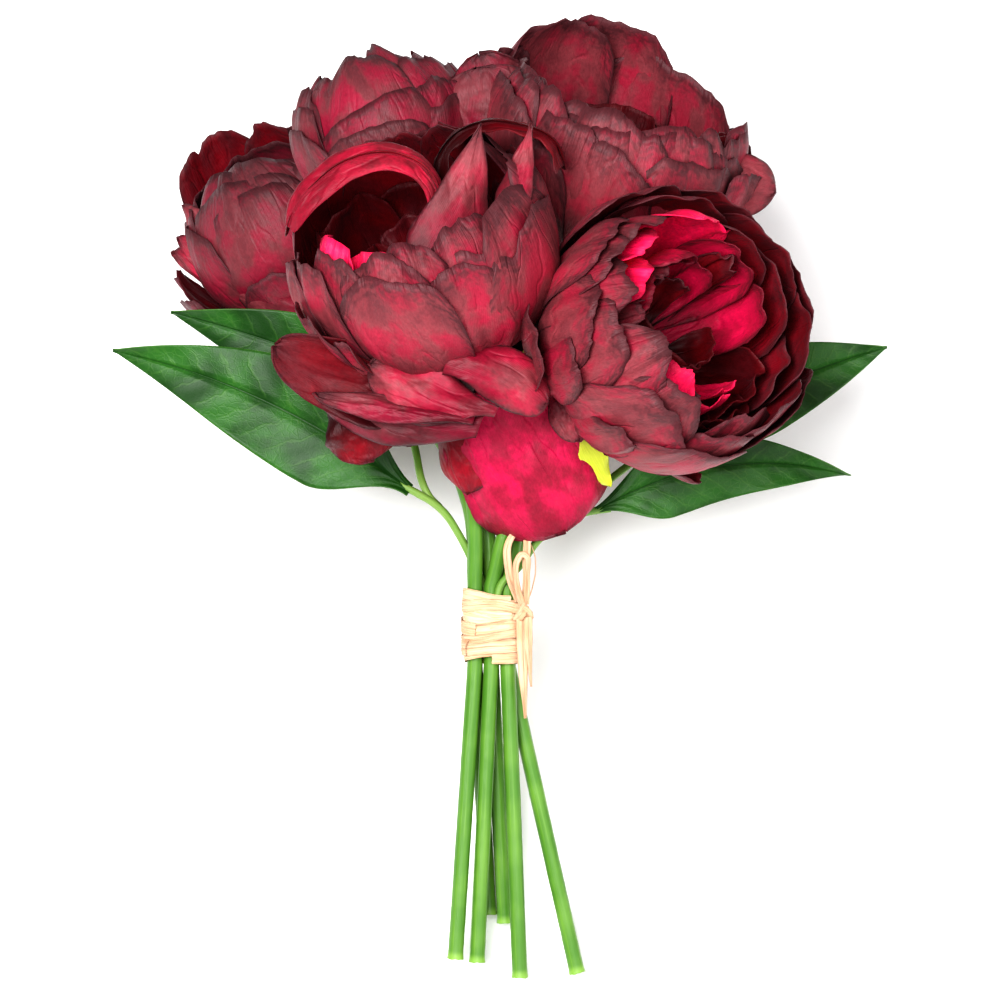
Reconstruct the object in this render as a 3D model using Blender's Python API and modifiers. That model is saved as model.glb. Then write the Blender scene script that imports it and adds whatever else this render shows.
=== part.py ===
"""A hand-tied bunch of six artificial peonies, lying on the surface it was laid down on.

Everything is placed in the bunch's own frame, in millimetres: +Y runs along the stems from
the longest cut end to the flowers, +X is to the right, and +Z comes up out of the side that
faces up when the bunch lies down. One empty then tips the whole bunch to the pose in which
it rests on its two rear flowers and its stem ends, and sets it down on z = 0, in metres.
"""

import math
from collections import namedtuple

import bmesh
import bpy
from mathutils import Matrix, Vector

MM = 0.001

# The pose at rest: the flowers hold their end of the bunch off the surface.
REST_TILT = math.radians(22.3)

# Gap left between pieces that touch.
SEAT_GAP = 0.3

# Stems, and the 3 x 2 pack that they make inside the tie.
STEM_RADIUS = 2.5
STEM_PITCH = 5.3
STALK_RADIUS = 0.9
TUBE_STEPS = 3
PACK_X = -2.8
ROW_FRONT = STEM_PITCH / 2
ROW_BACK = -STEM_PITCH / 2
COLUMN_LEFT = PACK_X - STEM_PITCH
COLUMN_RIGHT = PACK_X + STEM_PITCH

# The raffia tie.
TIE_BOTTOM = 100.5
TIE_TOP = 125.5
TIE_WALL = 0.7
TIE_CENTRE_Z = 0.5
TIE_HALF_DEPTH = 6.0
RAFFIA_RADIUS = 0.7
KNOT_CENTRE = (6.75, 117.5, 7.4)
KNOT_HALF_SIZE = (2.0, 3.2, 2.0)

# Flower heads: petals are plates on a sphere, seated in a turned calyx.
PETAL_THICKNESS = 1.0
PETAL_BASE_ANGLE = math.radians(7.0)
PETAL_SIDE_GAP = 0.9
CUP_CLAW = 0.45
SHOULDER = 0.55
DROOPING_CLAW = 0.12
CALYX_WALL = 1.5
CALYX_RIM_ANGLE = math.radians(15.0)
CALYX_NECK = 7.0
HEART_SHARE = 0.82
PLEATS = 5
PLEAT_DEPTH = 0.52

Head = namedtuple("Head", "centre faces radius rim_angle petals turn")
HEADS = {
    "front_right": Head((54, 206, 44), (0.45, 0.25, 0.85), 41.0, 118, 5, 20),
    "front": Head((-24, 232, 45), (-0.15, 0.87, 0.46), 39.5, 122, 4, 45),
    "left": Head((-72, 245, -68), (-0.50, 0.80, 0.30), 34.0, 112, 4, 10),
    "upper_left": Head((-38, 275, -10), (-0.20, 0.95, 0.10), 28.5, 136, 4, 30),
    "upper_right": Head((38, 275, -5), (0.26, 0.93, 0.18), 43.0, 112, 5, 0),
    "back": Head((28, 220, -60), (0.10, 0.60, -0.75), 33.0, 116, 4, 15),
}

# Each stem: the points it passes below its flower, from its cut end up.
STEM_ROUTES = {
    "front": [
        (-14.4, 6.0, 4.0), (COLUMN_LEFT, TIE_BOTTOM, ROW_FRONT),
        (COLUMN_LEFT, TIE_TOP, ROW_FRONT + 0.2), (-8.3, 150, 7.0), (-11.5, 170, 13.0),
    ],
    "front_right": [
        (-7.4, 4.8, 2.5), (PACK_X, TIE_BOTTOM, ROW_FRONT),
        (PACK_X, TIE_TOP, ROW_FRONT + 0.2), (3.8, 149, 5.5), (17.0, 171, -3.0),
    ],
    "upper_right": [
        (6.4, 0.0, 3.0), (COLUMN_RIGHT, TIE_BOTTOM, ROW_FRONT),
        (COLUMN_RIGHT, TIE_TOP, ROW_FRONT), (6.0, 150, -3.0), (13.0, 190, -16.0),
    ],
    "back": [
        (25.0, 0.6, -3.2), (COLUMN_RIGHT, TIE_BOTTOM, ROW_BACK),
        (COLUMN_RIGHT, TIE_TOP, ROW_BACK), (7.0, 145, -9.0), (15.0, 170, -21.0),
    ],
    "upper_left": [
        (1.6, 16.6, -5.0), (PACK_X, TIE_BOTTOM, ROW_BACK),
        (PACK_X, TIE_TOP, ROW_BACK), (-5.0, 150, -2.5), (-14.0, 190, -4.0),
    ],
    "left": [
        (-3.5, 19.0, -7.0), (COLUMN_LEFT, TIE_BOTTOM, ROW_BACK),
        (COLUMN_LEFT, TIE_TOP, ROW_BACK), (-12.0, 150, -8.5), (-28.0, 182, -28.0),
    ],
}

# Guard petals that have dropped below the front flower. Seat is the side of the calyx that
# each one hangs from.
Drooping = namedtuple("Drooping", "length width seat hangs faces bend cup")
DROOPING_PETALS = {
    "bright": Drooping(56.0, 54.0, (0.9, 0.0, 0.3), (0.34, -0.94, 0.03), (0.0, 0.1, 1.0), 15, 0.10),
    "folded": Drooping(50.0, 78.0, (-0.2, -0.4, 0.9), (-0.10, -0.28, 0.95), (0.0, 1.0, 0.3), -50, -0.12),
    "low_left": Drooping(42.0, 34.0, (-1.0, -0.2, 0.2), (-0.85, -0.50, 0.24), (0.0, 0.5, 0.9), -20, 0.10),
}
DROOPING_SEAT_ANGLE = math.radians(11.0)
DROOPING_SEAT_GAP = 0.6

# Leaves: where the blade starts and ends, its width and the way its upper face looks.
Leaf = namedtuple("Leaf", "base tip width faces bend")
LEAVES = {
    "left_lower": Leaf((-28.8, 156.8, 6.0), (-125.4, 202.0, -6.0), 38.0, (0.05, -0.1, 1.0), 22),
    "left_upper": Leaf((-35.0, 190.0, -8.0), (-107.2, 215.0, -12.0), 30.0, (0.0, -0.3, 1.0), 14),
    "right_lower": Leaf((31.0, 150.0, -6.0), (114.2, 161.6, -14.0), 36.0, (0.0, -0.2, 1.0), 16),
    "right_upper": Leaf((62.0, 178.0, -14.0), (125.8, 203.2, -8.0), 30.0, (0.0, -0.1, 1.0), 12),
}
LEAF_THICKNESS = 0.8
STALK_ROUTES = {
    "left_lower": [
        (-5.45, 114, 0), (-5.45, 125.5, 0), (-8.6, 133, -0.3), (-13.0, 142, 0.5), (-19, 150.6, 2.5),
    ],
    "left_upper": [(-23.2, 155.3, 3.0), (-28.0, 172, -4.0)],
    "right_lower": [
        (-0.15, 114, 5.4), (-0.15, 125.5, 5.4), (6.0, 132, 6.0), (13.0, 141.4, 4.6), (22, 147.6, -1.0),
    ],
    "right_upper": [(25.2, 151.2, -3.6), (42.0, 165, -12.5)],
}


def clear_scene():
    for obj in list(bpy.data.objects):
        bpy.data.objects.remove(obj)


def make_collection(name):
    collection = bpy.data.collections.new(name)
    bpy.context.scene.collection.children.link(collection)
    return collection


def make_material(name, colour, roughness, sheen=0.0):
    material = bpy.data.materials.new(name)
    material.use_nodes = True
    shader = material.node_tree.nodes["Principled BSDF"]
    shader.inputs["Base Color"].default_value = (*colour, 1.0)
    shader.inputs["Roughness"].default_value = roughness
    shader.inputs["Metallic"].default_value = 0.0
    shader.inputs["Sheen Weight"].default_value = sheen
    return material


def make_materials():
    return {
        "outer_petal": make_material("outer_petal_fabric", (0.300, 0.060, 0.080), 0.55, 0.3),
        "heart_petal": make_material("heart_petal_fabric", (0.420, 0.015, 0.060), 0.50, 0.3),
        "bright_petal": make_material("bright_petal_fabric", (0.620, 0.015, 0.075), 0.45, 0.3),
        "leaf": make_material("leaf_fabric", (0.045, 0.130, 0.025), 0.50),
        "stem": make_material("stem_plastic", (0.180, 0.420, 0.080), 0.35),
        "calyx": make_material("calyx_plastic", (0.420, 0.500, 0.050), 0.40),
        "raffia": make_material("raffia_strip", (0.880, 0.720, 0.480), 0.80),
    }


def add_object(name, data, material, parent):
    """Places an object in the bunch, hung from a parent empty."""
    data.materials.append(material)
    obj = bpy.data.objects.new(name, data)
    BUNCH.objects.link(obj)
    obj.parent = parent
    return obj


def add_empty(name, matrix, parent):
    empty = bpy.data.objects.new(name, None)
    BUNCH.objects.link(empty)
    empty.parent = parent
    empty.matrix_local = matrix
    return empty


def frame_along(origin, forward, faces):
    """A frame at origin whose Y runs forward and whose Z is as near to faces as it can be."""
    y_axis = Vector(forward).normalized()
    x_axis = y_axis.cross(Vector(faces)).normalized()
    z_axis = x_axis.cross(y_axis)
    turn = Matrix((x_axis, y_axis, z_axis)).transposed().to_4x4()
    return Matrix.Translation(Vector(origin) * MM) @ turn


def head_frame(head):
    """A frame at the head's centre whose Z is the way that the flower faces."""
    turn = Vector(head.faces).to_track_quat("Z", "Y").to_matrix().to_4x4()
    spin = Matrix.Rotation(math.radians(head.turn), 4, "Z")
    return Matrix.Translation(Vector(head.centre) * MM) @ turn @ spin


def bent_grid(name, columns, rows, place):
    """A grid whose points (across -1..1, along 0..1) go where place says, in millimetres."""
    mesh = bpy.data.meshes.new(name)
    sheet = bmesh.new()
    bmesh.ops.create_grid(sheet, x_segments=columns, y_segments=rows, size=1.0)
    for vertex in sheet.verts:
        across, along = vertex.co.x, (vertex.co.y + 1) / 2
        vertex.co = Vector(place(across, along)) * MM
    sheet.to_mesh(mesh)
    sheet.free()
    mesh.shade_smooth()
    return mesh


def thicken(obj, thickness):
    shell = obj.modifiers.new("thickness", "SOLIDIFY")
    shell.thickness = thickness * MM
    shell.offset = 0.0


def petal_outline(along, claw):
    """A petal's share of its full width: narrow claw, full shoulders, rounded rim."""
    shoulders = min(1.0, claw + (1 - claw) * along / SHOULDER)
    rim = math.sqrt(max(0.0, 1 - max(0.0, (along - 0.62) / 0.46) ** 2))
    return shoulders * (0.35 + 0.65 * rim)


def cup_petal(name, head, number, material, parent):
    """One petal of the outer ring, as a plate on the head's sphere."""
    sector = math.tau / head.petals
    rim_angle = math.radians(head.rim_angle)

    def place(across, along):
        polar = PETAL_BASE_ANGLE + (rim_angle - PETAL_BASE_ANGLE) * along
        ring = head.radius * math.sin(polar)
        widest = sector / 2 - PETAL_SIDE_GAP / ring
        angle = sector * number + widest * petal_outline(along, CUP_CLAW) * across
        return ring * math.cos(angle), ring * math.sin(angle), -head.radius * math.cos(polar)

    obj = add_object(name, bent_grid(name, 5, 6, place), material, parent)
    thicken(obj, PETAL_THICKNESS)


def heart(name, head, material, parent):
    """The ruffled inner petals, as one pleated ball resting in the bottom of the cup."""
    radius = head.radius * HEART_SHARE
    drop = head.radius - PETAL_THICKNESS / 2 - SEAT_GAP - radius
    mesh = bpy.data.meshes.new(name)
    ball = bmesh.new()
    bmesh.ops.create_uvsphere(ball, u_segments=20, v_segments=8, radius=radius * MM)
    for vertex in ball.verts:
        turn = math.atan2(vertex.co.y, vertex.co.x)
        height = vertex.co.z / (radius * MM)
        pleat = PLEAT_DEPTH * (1 - height**4) * (1 + math.cos(PLEATS * turn)) / 2
        vertex.co.x *= 1 - pleat
        vertex.co.y *= 1 - pleat
        vertex.co.z -= drop * MM
    ball.to_mesh(mesh)
    ball.free()
    mesh.shade_smooth()
    add_object(name, mesh, material, parent)


def calyx(name, head, material, parent):
    """The green cup under a flower: a turned saucer round the petals' feet, on a short neck."""
    inner = head.radius + PETAL_THICKNESS / 2 + SEAT_GAP
    outer = inner + CALYX_WALL
    profile = []
    for step in range(4):
        polar = CALYX_RIM_ANGLE * step / 3
        profile.append((inner * math.sin(polar), -inner * math.cos(polar)))
    for step in (3, 2):
        polar = CALYX_RIM_ANGLE * step / 3
        profile.append((outer * math.sin(polar), -outer * math.cos(polar)))
    profile += [(STEM_RADIUS + 1.2, -outer - 2.0), (STEM_RADIUS + 0.6, -outer - CALYX_NECK)]
    profile.append((0.0, -outer - CALYX_NECK))
    mesh = bpy.data.meshes.new(name)
    turned = bmesh.new()
    points = [turned.verts.new((x * MM, 0, z * MM)) for x, z in profile]
    for start, end in zip(points, points[1:]):
        turned.edges.new((start, end))
    turned.to_mesh(mesh)
    turned.free()
    obj = add_object(name, mesh, material, parent)
    screw = obj.modifiers.new("turned", "SCREW")
    screw.steps = screw.render_steps = 12
    screw.use_merge_vertices = True
    screw.merge_threshold = 0.00005


def neck_points(head):
    """Where the stem enters the calyx, and a point a little before it, on the flower's axis."""
    axis = Vector(head.faces).normalized()
    seat = head.radius + PETAL_THICKNESS / 2 + CALYX_WALL + CALYX_NECK + 2 * SEAT_GAP
    centre = Vector(head.centre)
    return [centre - axis * (seat + 9), centre - axis * seat]


def tube(name, points, radius, material, parent):
    """A round rod along a smooth curve through the points."""
    curve = bpy.data.curves.new(name, "CURVE")
    curve.dimensions = "3D"
    curve.resolution_u = TUBE_STEPS
    curve.bevel_depth = radius * MM
    curve.bevel_resolution = 2
    curve.use_fill_caps = True
    spline = curve.splines.new("BEZIER")
    spline.bezier_points.add(len(points) - 1)
    for knot, point in zip(spline.bezier_points, points):
        knot.co = Vector(point) * MM
        straight = TIE_BOTTOM <= point[1] <= TIE_TOP
        knot.handle_left_type = knot.handle_right_type = "VECTOR" if straight else "AUTO"
    add_object(name, curve, material, parent)


def drooping_petal(name, head, petal, material, parent):
    """A guard petal hanging from the outside of the calyx."""
    axis = Vector(head.faces).normalized()
    seat = Vector(petal.seat)
    side = (seat - axis * seat.dot(axis)).normalized()
    reach = head.radius + PETAL_THICKNESS + CALYX_WALL + 2 * SEAT_GAP + DROOPING_SEAT_GAP
    outward = side * math.sin(DROOPING_SEAT_ANGLE) - axis * math.cos(DROOPING_SEAT_ANGLE)
    base = Vector(head.centre) + outward * reach
    bend = math.radians(petal.bend)

    def place(across, along):
        half_width = petal.width / 2 * petal_outline(along, DROOPING_CLAW)
        forward = petal.length * math.sin(bend * along) / bend
        rise = petal.length * (1 - math.cos(bend * along)) / bend
        shorter = 1 - 0.15 * across**2 * along
        return half_width * across, forward * shorter, rise + petal.cup * half_width * across**2

    obj = add_object(name, bent_grid(name, 6, 6, place), material, parent)
    obj.matrix_local = frame_along(base, petal.hangs, petal.faces)
    thicken(obj, PETAL_THICKNESS)


def leaf_blade(name, leaf, material, parent):
    """A lance-shaped blade, arched along its midrib and folded a little across it."""
    length = (Vector(leaf.tip) - Vector(leaf.base)).length
    bend = math.radians(leaf.bend)

    def place(across, along):
        share = 0.10 + 0.90 * math.sin(math.pi * min(1.0, along**0.85)) ** 0.8
        half_width = leaf.width / 2 * share * (1 - 0.55 * along**6)
        arch = length * bend / 2 * along * (1 - along)
        return half_width * across, length * along, arch + 0.18 * half_width * abs(across)

    obj = add_object(name, bent_grid(name, 4, 9, place), material, parent)
    obj.matrix_local = frame_along(leaf.base, Vector(leaf.tip) - Vector(leaf.base), leaf.faces)
    thicken(obj, LEAF_THICKNESS)


def stalk_end(leaf):
    """The stalk stops just short of the blade's foot."""
    forward = (Vector(leaf.tip) - Vector(leaf.base)).normalized()
    return Vector(leaf.base) - forward * (SEAT_GAP + 0.5)


def rounded_outline(half_width, half_depth, corner):
    """Points of a rounded rectangle, corner by corner, each corner an arc."""
    points = []
    for quarter in range(4):
        middle = math.pi / 4 + quarter * math.pi / 2
        corner_x = math.copysign(half_width - corner, math.cos(middle))
        corner_y = math.copysign(half_depth - corner, math.sin(middle))
        for step in range(-2, 3):
            angle = middle + step * math.pi / 8
            points.append((corner_x + corner * math.cos(angle), corner_y + corner * math.sin(angle)))
    return points


def raffia_band(name, material, parent):
    """The wound tie: a flattened ring round the pack of stems."""
    curve = bpy.data.curves.new(name, "CURVE")
    curve.dimensions = "2D"
    curve.fill_mode = "BOTH"
    curve.extrude = (TIE_TOP - TIE_BOTTOM) / 2 * MM
    half_width = STEM_PITCH + STEM_RADIUS + SEAT_GAP
    corner = STEM_RADIUS + SEAT_GAP
    for grow in (TIE_WALL, 0.0):
        outline = rounded_outline(half_width + grow, TIE_HALF_DEPTH + grow, corner + grow)
        spline = curve.splines.new("POLY")
        spline.points.add(len(outline) - 1)
        for point, (x, y) in zip(spline.points, outline):
            point.co = (x * MM, y * MM, 0, 1)
        spline.use_cyclic_u = True
    obj = add_object(name, curve, material, parent)
    middle = Vector((PACK_X, (TIE_BOTTOM + TIE_TOP) / 2, TIE_CENTRE_Z)) * MM
    obj.matrix_local = Matrix.Translation(middle) @ Matrix.Rotation(-math.pi / 2, 4, "X")


def raffia_knot(name, material, parent):
    mesh = bpy.data.meshes.new(name)
    lump = bmesh.new()
    bmesh.ops.create_uvsphere(lump, u_segments=10, v_segments=6, radius=MM)
    bmesh.ops.scale(lump, vec=KNOT_HALF_SIZE, verts=lump.verts)
    lump.to_mesh(mesh)
    lump.free()
    mesh.shade_smooth()
    obj = add_object(name, mesh, material, parent)
    obj.location = Vector(KNOT_CENTRE) * MM


def raffia_tie(materials, parent):
    raffia = materials["raffia"]
    raffia_band("raffia_band", raffia, parent)
    raffia_knot("raffia_knot", raffia, parent)
    knot = Vector(KNOT_CENTRE)
    loop = [
        (-1.0, 3.7, 0.0), (-4.0, 14.0, 2.6), (-3.2, 24.0, 3.0),
        (-0.2, 26.0, 3.0), (1.6, 16.0, 2.2), (1.0, 3.7, 0.0),
    ]
    tail = [(0.2, -3.8, 0.0), (0.6, -18.0, -0.6), (1.4, -34.0, -2.2)]
    tube("raffia_loop", [knot + Vector(point) for point in loop], RAFFIA_RADIUS, raffia, parent)
    tube("raffia_tail", [knot + Vector(point) for point in tail], RAFFIA_RADIUS, raffia, parent)


def flower(title, head, materials, bunch):
    """A head with its calyx, its ring of outer petals and its heart, and the stem it stands on."""
    name = f"peony_{title}"
    frame = add_empty(f"{name}_frame", head_frame(head), bunch)
    tube(f"{name}_stem", STEM_ROUTES[title] + neck_points(head), STEM_RADIUS, materials["stem"], bunch)
    calyx(f"{name}_calyx", head, materials["calyx"], frame)
    heart(f"{name}_heart", head, materials["heart_petal"], frame)
    for number in range(head.petals):
        cup_petal(f"{name}_petal_{number + 1}", head, number, materials["outer_petal"], frame)


def leaf(title, shape, materials, bunch):
    leaf_blade(f"leaf_{title}", shape, materials["leaf"], bunch)
    route = STALK_ROUTES[title] + [stalk_end(shape)]
    tube(f"leaf_{title}_stalk", route, STALK_RADIUS, materials["stem"], bunch)


def lay_down(bunch):
    """Tips the bunch to its pose at rest, then centres it on the origin with its lowest point at z = 0."""
    bunch.matrix_world = Matrix.Rotation(REST_TILT, 4, "X")
    bpy.context.view_layer.update()
    graph = bpy.context.evaluated_depsgraph_get()
    points = []
    for obj in BUNCH.objects:
        if obj.type == "EMPTY":
            continue
        evaluated = obj.evaluated_get(graph)
        mesh = evaluated.to_mesh()
        points += [evaluated.matrix_world @ vertex.co for vertex in mesh.vertices]
        evaluated.to_mesh_clear()
    low = Vector([min(point[i] for point in points) for i in range(3)])
    high = Vector([max(point[i] for point in points) for i in range(3)])
    shift = Vector((-(low.x + high.x) / 2, -(low.y + high.y) / 2, -low.z))
    bunch.matrix_world = Matrix.Translation(shift) @ bunch.matrix_world
    size = high - low
    print("shift to the floor (mm):", [round(value / MM, 2) for value in shift])
    print("size (mm):", [round(value / MM, 1) for value in size])


def main():
    materials = make_materials()
    bunch = add_empty("bunch_at_rest", Matrix.Identity(4), None)
    for title, head in HEADS.items():
        flower(title, head, materials, bunch)
    for title, petal in DROOPING_PETALS.items():
        colour = materials["bright_petal" if title == "bright" else "outer_petal"]
        drooping_petal(f"peony_front_drooping_{title}", HEADS["front"], petal, colour, bunch)
    for title, shape in LEAVES.items():
        leaf(title, shape, materials, bunch)
    raffia_tie(materials, bunch)
    lay_down(bunch)


clear_scene()
BUNCH = make_collection("bunch_of_peonies")
main()
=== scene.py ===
# %% [markdown]
# # A bunch of fabric peonies
# Six burgundy peonies are tied with raffia and laid down on a table. The real ones are made,
# not grown: petals are stamped from satin, dyed, and pressed over hot balls into cups; stems
# are soft plastic over wire; leaves are coated cloth with moulded veins.
# The frame already holds plain solids in the right places. This lesson dresses them: one node
# tree grows the petals of every head, another draws each stem and raffia strip along its path,
# and a third shapes the leaves and the loose petals.

# %% Load the fixed frame
import math
import random

import bmesh
import bpy
from mathutils import Matrix, Vector


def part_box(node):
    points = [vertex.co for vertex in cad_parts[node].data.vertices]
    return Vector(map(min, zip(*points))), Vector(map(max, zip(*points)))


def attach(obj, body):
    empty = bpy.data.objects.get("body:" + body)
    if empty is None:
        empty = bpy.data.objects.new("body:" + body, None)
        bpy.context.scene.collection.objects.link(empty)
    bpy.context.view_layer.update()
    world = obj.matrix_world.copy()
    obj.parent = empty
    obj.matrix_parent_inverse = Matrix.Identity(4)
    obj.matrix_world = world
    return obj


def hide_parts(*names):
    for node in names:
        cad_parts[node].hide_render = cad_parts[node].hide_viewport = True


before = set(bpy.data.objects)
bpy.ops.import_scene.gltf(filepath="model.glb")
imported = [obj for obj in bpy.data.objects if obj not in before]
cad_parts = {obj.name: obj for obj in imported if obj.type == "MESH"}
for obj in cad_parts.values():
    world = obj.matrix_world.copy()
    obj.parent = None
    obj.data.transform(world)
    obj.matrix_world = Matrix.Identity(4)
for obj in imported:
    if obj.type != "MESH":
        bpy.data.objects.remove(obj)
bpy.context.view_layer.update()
MM = 0.001
print("nodes in the frame:", len(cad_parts))

# %% [markdown]
# ## The bunch's own frame
# The bunch lies tipped by its flowers, which is awkward to think in. So every piece is placed
# in the bunch's own frame, in millimetres: Y runs up the stems, X to the right, and Z out of
# the side that faces up. The tilt is known, and the raffia knot, a ball whose place is known
# in both frames, gives the shift between them.

# %% From the bunch's frame to the table's
REST_TILT = math.radians(22.3)
KNOT_CENTRE = Vector((6.75, 117.5, 7.4))
tilt = Matrix.Rotation(REST_TILT, 4, "X")
knot_low, knot_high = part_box("raffia_knot")
knot_on_table = (Vector(knot_low) + Vector(knot_high)) / 2
TABLE_FROM_BUNCH = Matrix.Translation(knot_on_table - tilt @ (KNOT_CENTRE * MM)) @ tilt
TABLE_FROM_BUNCH = TABLE_FROM_BUNCH @ Matrix.Scale(MM, 4)
print("shift (mm):", [round(value / MM, 1) for value in TABLE_FROM_BUNCH.translation])


def frame_facing(centre, faces):
    """A frame in the bunch whose Z runs along faces and whose X stays near to the bunch's."""
    z_axis = Vector(faces).normalized()
    across = Vector((1, 0, 0))
    x_axis = (across - z_axis * z_axis.dot(across)).normalized()
    turn = Matrix((x_axis, z_axis.cross(x_axis), z_axis)).transposed().to_4x4()
    return Matrix.Translation(centre) @ turn


# %% [markdown]
# ## Camera, lights and floor
# The bunch lies down, so the camera looks down on it, square to the bunch's own plane, from
# far enough away that the flowers keep their proportions. Large soft lights leave a gentle
# shadow, and the floor is almost white.

# %% Camera
scene = bpy.context.scene


def new_object(name, data):
    """An object that holds the data, linked to the scene."""
    found = bpy.data.objects.new(name, data)
    scene.collection.objects.link(found)
    return found


scene.view_settings.view_transform = "Standard"
scene.view_settings.look = "High Contrast"
VIEW_CENTRE = (0.0, 153.6, 10.0)
VIEW_DISTANCE = 1150.0
VIEW_WIDTH = 320.0
camera_data = bpy.data.cameras.new("camera")
camera = new_object("camera", camera_data)
camera_data.sensor_width = 36.0
camera_data.lens = camera_data.sensor_width * VIEW_DISTANCE / VIEW_WIDTH
camera_place = TABLE_FROM_BUNCH @ (Vector(VIEW_CENTRE) + Vector((0, 0, VIEW_DISTANCE)))
camera.matrix_world = Matrix.Translation(camera_place) @ tilt
scene.camera = camera
print("lens (mm):", round(camera_data.lens, 1))

# %% Lights and floor
LIGHTS_AIM = (0, 200, 20)
FLOOR_HALF_WIDTH = 4.0


def add_light(name, place, size, power):
    """A square light at place in the bunch's frame, aimed at the flowers."""
    data = bpy.data.lights.new(name, "AREA")
    data.size = size
    data.energy = power
    light = new_object(name, data)
    at = TABLE_FROM_BUNCH @ Vector(place)
    aim = TABLE_FROM_BUNCH @ Vector(LIGHTS_AIM) - at
    light.matrix_world = Matrix.Translation(at) @ aim.to_track_quat("-Z", "Y").to_matrix().to_4x4()


add_light("key_light", (-330, 330, 1050), 0.6, 17.5)
add_light("fill_light", (820, 0, 820), 1.2, 6.5)
add_light("front_light", (150, 100, 1250), 0.6, 3.0)

world = bpy.data.worlds.new("studio")
world.use_nodes = True
world.node_tree.nodes["Background"].inputs["Color"].default_value = (1.0, 1.0, 1.0, 1.0)
world.node_tree.nodes["Background"].inputs["Strength"].default_value = 0.30
scene.world = world

floor_mesh = bpy.data.meshes.new("floor")
floor_draft = bmesh.new()
bmesh.ops.create_grid(floor_draft, x_segments=1, y_segments=1, size=FLOOR_HALF_WIDTH)
floor_draft.to_mesh(floor_mesh)
floor_draft.free()
floor = new_object("floor", floor_mesh)
floor_paint = bpy.data.materials.new("floor_paint")
floor_paint.use_nodes = True
floor_shader = floor_paint.node_tree.nodes["Principled BSDF"]
floor_shader.inputs["Base Color"].default_value = (0.93, 0.93, 0.93, 1.0)
floor_shader.inputs["Roughness"].default_value = 0.9
floor_mesh.materials.append(floor_paint)
print("lights:", len(bpy.data.lights))

# %% [markdown]
# ## Writing node trees as arithmetic
# A petal's shape and a cloth's colour are both formulas. Wiring them node by node hides the
# formula, so a small helper lets a tree be written as ordinary arithmetic: each operation adds
# one Math node. It serves geometry trees and shader trees alike.

# %% A number that varies


class Field:
    """A node's output. Arithmetic on it adds Math nodes to its tree."""

    def __init__(self, tree, socket):
        self.tree = tree
        self.socket = socket

    def math(self, operation, *others):
        node = self.tree.nodes.new("ShaderNodeMath")
        node.operation = operation
        for entry, value in zip(node.inputs, (self, *others)):
            plug(self.tree, entry, value)
        return Field(self.tree, node.outputs[0])

    def __add__(self, other):
        return self.math("ADD", other)

    def __sub__(self, other):
        return self.math("SUBTRACT", other)

    def __mul__(self, other):
        return self.math("MULTIPLY", other)

    def __truediv__(self, other):
        return self.math("DIVIDE", other)

    def __pow__(self, other):
        return self.math("POWER", other)

    def __rsub__(self, other):
        return self.math("MULTIPLY", -1.0).math("ADD", other)

    __radd__ = __add__
    __rmul__ = __mul__

    def sin(self):
        return self.math("SINE")

    def cos(self):
        return self.math("COSINE")

    def abs(self):
        return self.math("ABSOLUTE")

    def ramp(self, low, high):
        """0 at low and 1 at high, eased at both ends."""
        node = self.tree.nodes.new("ShaderNodeMapRange")
        node.interpolation_type = "SMOOTHSTEP"
        plug(self.tree, pick(node.inputs, "Value"), self)
        plug(self.tree, pick(node.inputs, "From Min"), low)
        plug(self.tree, pick(node.inputs, "From Max"), high)
        return Field(self.tree, pick(node.outputs, "Result"))


def plug(tree, entry, value):
    """Links a field to an input, or sets the input to a plain value."""
    if isinstance(value, Field):
        tree.links.new(value.socket, entry)
    else:
        entry.default_value = value


def pick(sockets, name):
    """The socket of that name that the node shows."""
    return next(socket for socket in sockets if socket.name == name and socket.enabled)


def add_node(tree, kind, settings=None, **entries):
    """Adds a node, sets its properties and plugs its inputs, whose names use _ for spaces."""
    node = tree.nodes.new(kind)
    for key, value in (settings or {}).items():
        setattr(node, key, value)
    for key, value in entries.items():
        plug(tree, pick(node.inputs, key.replace("_", " ")), value)
    return node


def output(node, name):
    """What a node gives out, as a field."""
    return Field(node.id_data, pick(node.outputs, name))


def vector(tree, x, y, z):
    return output(add_node(tree, "ShaderNodeCombineXYZ", X=x, Y=y, Z=z), "Vector")


def scaled(tree, direction, amount):
    """A vector or a colour times a number."""
    node = add_node(tree, "ShaderNodeVectorMath", {"operation": "SCALE"}, Scale=amount)
    plug(tree, node.inputs[0], direction)
    return output(node, "Vector")


def cloudiness(tree, place, scale, detail):
    """Smooth noise from 0 to 1 at a place."""
    node = add_node(tree, "ShaderNodeTexNoise", Vector=place, Scale=scale, Detail=detail)
    return Field(tree, node.outputs[0])


def clouds(tree, x, y, z, detail):
    """The same noise, at a place given by its three parts."""
    return cloudiness(tree, vector(tree, x, y, z), 1.0, detail)


# %% [markdown]
# ## One tree for every petal
# A peony's petals repeat a rule: each starts at the calyx, hugs a ball of some radius, and
# ends in a rounded, slightly frayed rim. A Geometry Nodes tree states that rule once. It grows
# a petal at each bud: a bud is a point that carries its petal's own numbers, such as how far
# round the head it stands, how big a ball it hugs, how far it closes over, and how it cups,
# rolls and ruffles. Across and along are kept on the petal, so that the cloth's colour can
# follow them. Angles on a bud are in degrees and lengths in millimetres.

# %% What a bud carries
BUD = dict(
    turn=0.0, rim=110.0, radius=40.0, width=70.0, base=7.0, lift=0.0, stretch=1.0,
    claw=0.5, blunt=0.22, cup=0.04, lap=0.03, curl=0.0, roll_left=0.0, roll_right=0.0,
    ruffle=0.016, ruffles=2.5, wave=0.06, notch=0.0, notch_at=0.2, crumple=0.05,
    twist=0.0, slant=0.0, dust=0.0, seed=1.0,
)


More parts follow.
